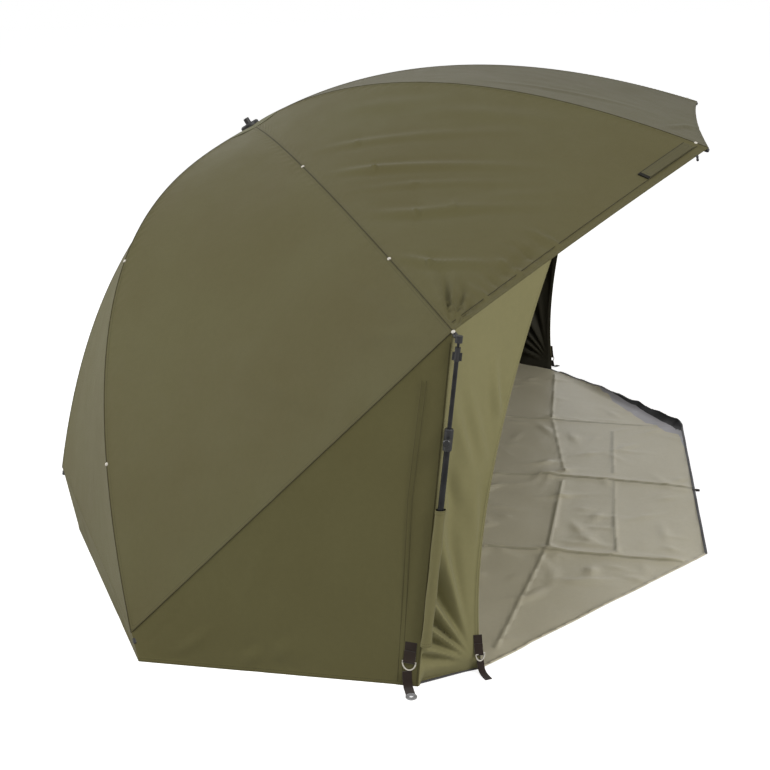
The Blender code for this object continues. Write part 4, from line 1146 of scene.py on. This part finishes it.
# Pole sleeves: a pocket of the light cloth round the foot of each pole, sewn beside the wing. The lower
# tube slips through it, and its two ends are hemmed.
SLEEVE_CLOTH = woven("sleeve_cloth", (0.165, 0.151, 0.066), (0.186, 0.170, 0.078), sheen=0.1)
SLEEVE_TOP = 0.440
SLEEVE_BOTTOM = 0.108
SLEEVE_HALF_WIDTH = 0.0122
SLEEVE_HALF_DEPTH = 0.0112
SLEEVE_THICKNESS = 0.0011
SLEEVE_SLACK = 0.05
SLEEVE_HEM_SHARE = 0.8
POLE_STANDOFF = 0.0135
POLE_AHEAD = 0.010
SOCKET_AHEAD = 0.010
for ribs, name in SIDES:
    side = ribs[0].side
    tip = on_rib(ribs[1], 1.0, ROD_DEPTH)
    direction = unit(tip - on_rib(ribs[1], cloth_share(ribs[1], 1.0), ROD_DEPTH))
    socket = tip + direction * SOCKET_AHEAD
    foot = np.array((side * (WALL_FRONT[0] + POLE_STANDOFF), WALL_FRONT[1] - POLE_AHEAD, 0.0004))
    down_pole = unit(foot - socket)
    across = np.linspace(0, 1, 41)
    down = stepped(SLEEVE_TOP - SLEEVE_BOTTOM, SEAM_EDGE, SEAM_EDGE, 0.011)
    turn = (across * 2 - 1) * pi
    height = SLEEVE_TOP + (SLEEVE_BOTTOM - SLEEVE_TOP) * down[:, None]
    centre = socket + down_pole * ((socket[2] - height) / -down_pole[2])
    sideways, forwards = side * SLEEVE_HALF_DEPTH * np.cos(turn), SLEEVE_HALF_WIDTH * np.sin(turn)
    ring = np.stack([sideways, forwards, np.zeros_like(turn)], -1)
    slack = 1 + SLEEVE_SLACK * np.sin(down * 17)[:, None] * np.cos(turn * 2)[None]
    points = centre[:, None, :] + ring[None] * slack[..., None]

    def lift_of(cut, left, right, top, bottom):
        return hemmed(top, bottom) * SLEEVE_HEM_SHARE

    sewn(
        "pole_sleeve_" + name, points, across, centre[len(centre) // 2], lift_of,
        [("sleeve_cloth_" + name, "rib_" + ribs[1].name, 0, 1, None)],
        ("top", "bottom"), [SLEEVE_CLOTH, WING_INSIDE_SHADE],
        SLEEVE_THICKNESS,
    )

# Webbing: black-brown straps sewn on the wall corners and the wing feet, each looped round a moulded pale
# ring. From each corner ring a second strap runs out over the ground to an oval eyelet for a peg.
TAB_THICKNESS = 0.0022
TAB_LOOP_RADIUS = 0.0042
TOUCH = 0.0004
TAB_INSET = 0.026
CORNER_BAR_HEIGHT = 0.062
CORNER_TAB = (0.028, 0.048)
FOOT_TAB = (0.020, 0.046)
FOOT_TAB_HEIGHTS = (0.048, 0.094)
PEG_STRAP_WIDTH = 0.022
PEG_RUN = [
    (0.0046, 0.0384), (0.0046, 0.030), (0.0048, 0.020), (0.0060, 0.012), (0.0085, 0.0065), (0.013, 0.0032),
    (0.020, 0.0019), (0.034, 0.0016), (0.052, 0.0016),
]
FOOT_STRAP_WIDTH = 0.017
FOOT_STRAP_OUT = (0.85, -0.52)
FOOT_RUN_TOP = ((-0.0030, 0.0040), (-0.0012, -0.0015), (0.001, -0.009))
FOOT_RUN = [(0.005, 0.0095), (0.012, 0.0048), (0.021, 0.0026), (0.032, 0.0018), (0.043, 0.0017)]
EYELET_OUT = 0.064
EYELET = [
    (0.0055, 0.0008), (0.0105, 0.0004), (0.0115, 0.0012), (0.0115, 0.0030), (0.0105, 0.0038),
    (0.0095, 0.0038), (0.0090, 0.0032), (0.0075, 0.0032), (0.0070, 0.0038), (0.0060, 0.0038),
    (0.0055, 0.0032),
]
WEBBING = woven("webbing", (0.024, 0.016, 0.013), (0.034, 0.024, 0.019), 0.0019, 0.8, 0.3, 0.05, False, 0.12)
PALE_ACETAL = moulded("pale_acetal", (0.60, 0.56, 0.48), (0.70, 0.67, 0.60), 0.32, 0.0, 500, 90)
GREY_EYELET = moulded("grey_eyelet", (0.30, 0.30, 0.31), (0.38, 0.38, 0.39), 0.38, 0.3, 500, 90)


def strap(name, place, width, run, body, replaced=None, thickness=TAB_THICKNESS):
    """A flat strap of webbing along a run of (out, up) points in a placement."""
    run = [Vector(point) for point in run]
    shape = bmesh.new()
    rows = []
    for index, point in enumerate(run):
        before, after = run[max(index - 1, 0)], run[min(index + 1, len(run) - 1)]
        step = (after - before).normalized()
        side_step = Vector((step.y, -step.x))
        for face in (0.5, -0.5):
            spot = point + side_step * thickness * face
            rows.append([shape.verts.new((x, spot.x, spot.y)) for x in np.linspace(-width / 2, width / 2, 9)])
    outer, inner = rows[0::2], rows[1::2]
    loop = outer + inner[::-1]
    for first, second in zip(loop, loop[1:] + loop[:1]):
        for a, b, c, d in zip(first, first[1:], second[1:], second):
            shape.faces.new((a, b, c, d))
    bmesh.ops.holes_fill(shape, edges=[edge for edge in shape.edges if edge.is_boundary])
    bmesh.ops.recalc_face_normals(shape, faces=shape.faces)
    uv = shape.loops.layers.uv.new("cut")
    for face in shape.faces:
        for corner in face.loops:
            corner[uv].uv = (corner.vert.co.x, corner.vert.co.z + corner.vert.co.y)
    bmesh.ops.transform(shape, matrix=place, verts=shape.verts)
    ridden(from_shape(name, shape, [WEBBING], 35), body, replaced)


def looped(height):
    """The run of a tab: flat on the cloth, then round the ring's straight bar and back up behind."""
    middle = TOUCH + TAB_LOOP_RADIUS
    bend = TAB_LOOP_RADIUS - TAB_THICKNESS / 2
    points = [(TOUCH + TAB_THICKNESS / 2, up_to) for up_to in (height, height / 2, 0.002)]
    for step in range(1, 12):
        turn = pi + pi * 1.25 * step / 11
        points.append((middle + bend * cos(turn), bend * sin(turn)))
    points.append((TOUCH + TAB_THICKNESS * 1.5, 0.0085))
    points.append((TOUCH + TAB_THICKNESS * 1.5, height * 0.55))
    return points


def facing_out(line, side):
    """The same line, turned to point away from the middle of the shelter."""
    return line if line[0] * side > 0 else -line


for ribs, name in SIDES:
    for node in ("corner_ring_", "foot_ring_"):
        dressed(node + name, PALE_ACETAL)
    side = ribs[0].side
    body = "rib_" + ribs[1].name
    front, corner = ground(WALL_FRONT, side), ground(WALL_CORNER, side)
    wall_line = unit(corner - front)
    rise = unit(gore_points(ribs[1], ribs[2], 1.0, 0.0) - front)
    out = facing_out(np.cross(wall_line, rise), side)
    spot = front + wall_line * TAB_INSET
    bar = placed(spot + rise * CORNER_BAR_HEIGHT, np.cross(out, rise), rise)
    strap("corner_webbing_" + name, bar, CORNER_TAB[0], looped(CORNER_TAB[1]), body, "corner_tab_" + name)
    out = unit(out * (1, 1, 0))
    trail = unit(out - wall_line * 0.42)
    flat_place = placed(spot, np.cross(trail, (0, 0, 1)), (0, 0, 1))

    wing_face = wing_faces[side]
    wing_height = gore_points(ribs[1], ribs[0], 1.0, WING_TOP_SHARE, SIDE_HOLLOW)[2]
    low, high = [1 - height / wing_height for height in FOOT_TAB_HEIGHTS]
    strip_middle = (1 + WING_FOLDED_SHARE) / 2
    spot = wing_face(low, strip_middle)
    rise = unit(wing_face(high, strip_middle) - spot)
    strip_line = unit(wing_face(low, 1.0) - wing_face(low, WING_FOLDED_SHARE))
    out = facing_out(unit(np.cross(strip_line, rise)), side)
    foot_bar = placed(spot + out * 0.0012, np.cross(out, rise), rise)
    strap("foot_webbing_" + name, foot_bar, FOOT_TAB[0], looped(FOOT_TAB[1]), body, "foot_tab_" + name)

    peg_names = ("peg_ring_" + name, "peg_strap_" + name)
    strap("peg_webbing_" + name, flat_place, PEG_STRAP_WIDTH, PEG_RUN, *peg_names)
    low, high = (Vector(corner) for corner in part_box("foot_ring_" + name))
    foot_out = unit(np.array((side * FOOT_STRAP_OUT[0], FOOT_STRAP_OUT[1], 0)))
    under_ring = np.array(((low.x + high.x) / 2, (low.y + high.y) / 2, 0)) + foot_out * 0.002
    place_foot = placed(under_ring, np.cross(foot_out, (0, 0, 1)), (0, 0, 1))
    run = [(out_by, low.z + up_by) for out_by, up_by in FOOT_RUN_TOP] + FOOT_RUN
    strap("foot_strap_" + name, place_foot, FOOT_STRAP_WIDTH, run, "foot_ring_" + name)
    shape = bmesh.new()
    for vert in turned(shape, EYELET, 32, Matrix.Identity(4)):
        if hypot(vert.co.x, vert.co.y) > 0.0072:
            vert.co.y *= 1.45
            vert.co.x *= 1.18
    bmesh.ops.transform(shape, matrix=flat_place @ Matrix.Translation((0, EYELET_OUT, 0)), verts=shape.verts)
    eyelet = from_shape("peg_eyelet_" + name, shape, [GREY_EYELET], 40)
    ridden(eyelet, "peg_ring_" + name, "peg_strap_" + name)

# Groundsheet: one coated sheet laid flat inside the walls, cut to a blunt point at the front, still
# showing the square creases from its bag. A dark tape binds its edge, which turns up along one side.
SHEET_THICKNESS = 0.0008
SHEET_CELL = 0.0112
SHEET_HALF = (1.47, 0.952)
BINDING_WIDTH = 0.0080
BINDING_RISE = 0.0011
CREASE_SHOULDER = 0.0075
SHEET_OUTLINE = [
    (0.518, 0.900), (1.386, 0.436), (1.4634, -0.2540), (1.359, -0.399), (0.605, -0.900),
    (-0.590, -0.948), (-1.359, -0.399), (-1.4634, -0.2540), (-1.386, 0.436), (-0.518, 0.900),
]
SHEET_CREASES = [
    (0.695, -0.300, 0.612, -0.759, 0.0034),
    (0.612, -0.759, 0.590, -0.880, 0.0022),
    (0.700, -0.300, 0.700, 0.850, 0.0030),
    (0.060, 0.880, 0.062, -0.443, 0.0036),
    (0.062, -0.443, 0.025, -0.650, 0.0066),
    (0.025, -0.650, -0.040, -0.925, 0.0062),
    (-0.560, 0.850, -0.578, -0.328, 0.0036),
    (-0.578, -0.328, -0.594, -0.483, 0.0062),
    (-0.594, -0.483, -0.625, -0.682, 0.0070),
    (-0.625, -0.682, -0.652, -0.880, 0.0050),
    (0.530, -0.662, 0.086, -0.674, 0.0030),
    (0.020, -0.680, -0.309, -0.686, 0.0022),
    (-0.309, -0.686, -0.600, -0.700, 0.0034),
    (1.280, -0.415, 0.695, -0.440, 0.0030),
    (0.695, -0.440, 0.087, -0.517, 0.0026),
    (0.000, -0.515, -0.570, -0.505, 0.0044),
    (-0.590, -0.500, -1.250, -0.420, 0.0036),
    (-1.380, -0.050, 1.380, -0.040, 0.0030),
    (-1.330, 0.330, 1.330, 0.350, 0.0030),
]
PINCHES = [
    (0.087, -0.517, 0.020, 0.0060),
    (0.060, -0.470, 0.030, 0.0046),
    (-0.580, -0.507, 0.024, 0.0070),
    (-0.640, -0.530, 0.030, 0.0050),
    (0.695, -0.440, 0.020, 0.0048),
    (-0.610, -0.690, 0.024, 0.0040),
    (0.040, -0.672, 0.020, 0.0034),
]
LIP_START = (1.300, -0.438)
LIP_END = (0.590, -0.900)
LIP_HEIGHT = 0.024
LIP_TAPE = 0.036
LIP_TAPED_FROM = (0.960, -0.6644)
SHEET_SHADE = 0.62
SHEET_SHEEN = (0.470, 0.455, 0.480)
CRUMPLE_COUNT = 190
LOOP_WIDTH = 0.016
LOOP_THICKNESS = 0.0010
LOOP_PLACE = (-0.060, -0.930, 0)
LOOP_RUN = [
    (0.012, 0.0034), (0.004, 0.0034), (-0.003, 0.0032), (-0.008, 0.0028), (-0.0105, 0.0021),
    (-0.0098, 0.0012), (-0.006, 0.0010), (0.002, 0.0010),
]
SHEET_COLOURS = ((0.655, 0.600, 0.425), (0.705, 0.650, 0.475))
TAPE_COLOURS = ((0.058, 0.058, 0.062), (0.078, 0.078, 0.082))
LIP_COLOURS = ((0.022, 0.022, 0.024), (0.036, 0.036, 0.038))
SHEET_CLOTH = woven("sheet_cloth", *SHEET_COLOURS, 0.0009, 0.36, 0.05, 0.55, False, 0.05, 0.5)
BINDING_TAPE = woven("binding_tape", *TAPE_COLOURS, 0.0012, 0.6, 0.1, 0.2, False, 0.1, 0.4)
LIP_CLOTH = woven("lip_cloth", *LIP_COLOURS, 0.0012, 0.5, 0.1, 0.3, False, 0.1, 0.4)


def cut_along(shape, start, end, offset, keep_all=True):
    """Cut the flat sheet along a line beside the run from start to end; the faces past it may be dropped."""
    run = (end - start).normalized()
    aside = Vector((run.y, -run.x, 0))
    base = start + aside * offset
    chosen = shape.faces[:]
    if keep_all:
        reach = (end - start).length + SHEET_CELL
        chosen = []
        for face in shape.faces:
            away = face.verts[0].co - base
            if abs(away.dot(aside)) < SHEET_CELL * 2 and -SHEET_CELL < away.dot(run) < reach:
                chosen.append(face)
    edges = {edge for face in chosen for edge in face.edges}
    verts = {vert for face in chosen for vert in face.verts}
    geom = [*verts, *edges, *chosen]
    drop = not keep_all
    bmesh.ops.bisect_plane(shape, geom=geom, plane_co=base, plane_no=aside, clear_inner=drop, dist=0.00002)


def beside(plan, start, end):
    """How far each spot lies from a run, and how far along it."""
    run = end - start
    length = np.linalg.norm(run)
    run = run / length
    along = np.clip((plan - start) @ run, 0, length)
    return np.linalg.norm(plan - start - along[:, None] * run, axis=1), along / length


shape = bmesh.new()
segments = [2 * round(half / SHEET_CELL) for half in SHEET_HALF]
bmesh.ops.create_grid(shape, x_segments=segments[0], y_segments=segments[1], size=1)
bmesh.ops.scale(shape, vec=(*SHEET_HALF, 1), verts=shape.verts)
corners = [Vector((x, y, 0)) for x, y in SHEET_OUTLINE]
sheet_edges = list(zip(corners, corners[1:] + corners[:1]))
for start, end in sheet_edges:
    cut_along(shape, start, end, 0, False)
for start, end in sheet_edges:
    for offset in (BINDING_WIDTH, BINDING_WIDTH + 0.0012):
        cut_along(shape, start, end, offset)
for x1, y1, x2, y2, height in SHEET_CREASES:
    for offset in (-CREASE_SHOULDER, 0, CREASE_SHOULDER):
        cut_along(shape, Vector((x1, y1, 0)), Vector((x2, y2, 0)), offset)
lip_aside = (corners[4] - corners[3]).normalized().cross(Vector((0, 0, 1)))
lip_from = Vector((*LIP_TAPED_FROM, 0)) + lip_aside * LIP_TAPE * 0.3
lip_inner = corners[4] + lip_aside * LIP_TAPE
for offset in (-LIP_TAPE * 0.4, 0):
    cut_along(shape, lip_from, lip_inner, offset)
flat_area = sum(face.calc_area() for face in shape.faces)
for face in shape.faces:
    middle = face.calc_center_median()
    inside_by = [(middle - start).cross((end - start).normalized()).z for start, end in sheet_edges]
    nearest = min(range(len(inside_by)), key=inside_by.__getitem__)
    beyond_lip = (middle - lip_from).cross((lip_inner - lip_from).normalized()).z < 0
    on_lip = beyond_lip and inside_by[3] < LIP_TAPE and inside_by[4] > 0 and middle.x < LIP_TAPED_FROM[0]
    face.material_index = 2 if on_lip else int(inside_by[nearest] < BINDING_WIDTH and nearest != 5)
made = bmesh.ops.extrude_face_region(shape, geom=shape.faces[:])
under = {item for item in made["geom"] if isinstance(item, bmesh.types.BMVert)}
for vert in under:
    vert.co.z = -0.01
bmesh.ops.recalc_face_normals(shape, faces=shape.faces)
plan = np.array([vert.co[:2] for vert in shape.verts])
lift = np.zeros(len(plan))
crease_shade = np.zeros(len(plan))
# Along one side of each crease the sheet is painted darker: painted shade for the valley of the fold.
for x1, y1, x2, y2, height in SHEET_CREASES:
    start, end = np.array((x1, y1)), np.array((x2, y2))
    off, along = beside(plan, start, end)
    away = plan - start
    aside = (away[:, 0] * (end - start)[1] - away[:, 1] * (end - start)[0]) / np.linalg.norm(end - start)
    shade_here = np.exp(-((aside - CREASE_SHOULDER * 0.8) / 0.005) ** 2) * ((along > 0.005) & (along < 0.995))
    crease_shade = np.maximum(crease_shade, shade_here * min(height / 0.0046, 1))
    ridge = 0.55 * np.maximum(0, 1 - off / CREASE_SHOULDER) + 0.45 * np.exp(-(off / 0.026) ** 2)
    lift = np.maximum(lift, height * ridge)
for x, y, reach, height in PINCHES:
    away = plan - (x, y)
    turn = np.arctan2(away[:, 1], away[:, 0])
    star = 0.65 + 0.35 * np.cos(turn * 4 + x * 9)
    lift += height * star * np.exp(-(np.linalg.norm(away, axis=1) / reach) ** 2)
draw = np.random.default_rng(7)
for _ in range(CRUMPLE_COUNT):
    spot = draw.uniform((-1.3, -0.90), (1.3, 0.1))
    turn = draw.uniform(0, pi)
    run = np.array((cos(turn), sin(turn)))
    reach = draw.uniform(0.04, 0.17)
    away = plan - spot
    along = np.clip(abs(away @ run) / reach, 0, 1)
    off = away[:, 0] * run[1] - away[:, 1] * run[0]
    lift += draw.uniform(0.0020, 0.0056) * (1 - along) ** 2 * np.exp(-(off / 0.013) ** 2)
lift += 0.0007 * (np.sin(plan[:, 0] * 23 + np.sin(plan[:, 1] * 9) * 2) * np.sin(plan[:, 1] * 19) + 1)
edge_off = np.full(len(plan), 1.0)
for start, end in sheet_edges:
    off, _ = beside(plan, np.array(start[:2]), np.array(end[:2]))
    edge_off = np.minimum(edge_off, off)
lift *= 0.35 + 0.65 * eased(edge_off, 0.05)
lift += 0.0016 * (np.sin(plan[:, 0] * 31) + np.sin(plan[:, 0] * 12 + 1) + 2) / 2 * (1 - eased(edge_off, 0.03))
off, along = beside(plan, np.array(LIP_START), np.array(LIP_END))
turned_up = np.clip(1 - off / 0.030, 0, 1) ** 1.3 * (0.25 + 0.75 * eased(along, 0.55))
turned_up = turned_up * eased(1 - along, 0.04)
lift += LIP_HEIGHT * turned_up * (0.9 + 0.1 * np.sin(along * 40))
bound = edge_off < BINDING_WIDTH + 0.0002
# A pale silvery band along the far edge and round the front corner is a painted sheen.
front_off, _ = beside(plan, np.array(SHEET_OUTLINE[4]), np.array(SHEET_OUTLINE[5]))
far_off, far_along = beside(plan, np.array(SHEET_OUTLINE[3]), np.array(SHEET_OUTLINE[4]))
corner_off = np.linalg.norm((plan - SHEET_OUTLINE[4]) / (1.0, 0.8), axis=1)
far_band = 0.082 * eased(far_along - 0.30, 0.60) - far_off
front_band = 0.030 * eased(plan[:, 0] - 0.30, 0.3) - front_off
sheen_band = np.maximum.reduce([far_band, front_band, 0.090 - corner_off])
sheen_band += 0.004 * np.sin(plan[:, 0] * 31 + 2 * np.sin(plan[:, 1] * 40))
for vert, height, taped in zip(shape.verts, lift, bound):
    above = SHEET_THICKNESS + (BINDING_RISE if taped else 0)
    vert.co.z = height + (0 if vert in under else above)
uv = shape.loops.layers.uv.new("cut")
for face in shape.faces:
    for corner in face.loops:
        corner[uv].uv = corner.vert.co.xy
sheet = from_shape("ground_sheet", shape, [SHEET_CLOTH, BINDING_TAPE, LIP_CLOTH], 180)
for label, values in (("crease", crease_shade), ("reverse", sheen_band)):
    layer = sheet.data.attributes.new(label, "FLOAT", "POINT")
    layer.data.foreach_set("value", values.astype(np.float32))
# The sheet's colour is darkened by the painted crease shade, then mixed towards pale silver in the painted
# sheen band.
tree = SHEET_CLOTH.node_tree
sheet_colour = tree.nodes["Principled BSDF"].inputs["Base Color"]
plain_colour = sheet_colour.links[0].from_socket
crease_shade_input = added(tree, "ShaderNodeAttribute", attribute_name="crease")
crease_shade_tone = (SHEET_SHADE, SHEET_SHADE, SHEET_SHADE * 0.95, 1)
shaded = added(tree, "ShaderNodeMix", data_type="RGBA", blend_type="MULTIPLY", B=crease_shade_tone)
sheen_input = added(tree, "ShaderNodeAttribute", attribute_name="reverse")
edge_of = added(tree, "ShaderNodeMapRange", From_Min=-0.001, From_Max=0.001)
silvered = added(tree, "ShaderNodeMix", data_type="RGBA", B=(*SHEET_SHEEN, 1))
wired(
    tree,
    (crease_shade_input.outputs["Fac"], shaded.inputs["Factor"]),
    (plain_colour, shaded.inputs["A"]),
    (sheen_input.outputs["Fac"], edge_of.inputs["Value"]),
    (edge_of.outputs["Result"], silvered.inputs["Factor"]),
    (shaded.outputs["Result"], silvered.inputs["A"]),
    (silvered.outputs["Result"], sheet_colour),
)
ridden(sheet, "groundsheet", "groundsheet")
loop_at = placed(LOOP_PLACE, (1, 0.04, 0), (0, 0, 1))
strap("sheet_loop", loop_at, LOOP_WIDTH, LOOP_RUN, "groundsheet", None, LOOP_THICKNESS)
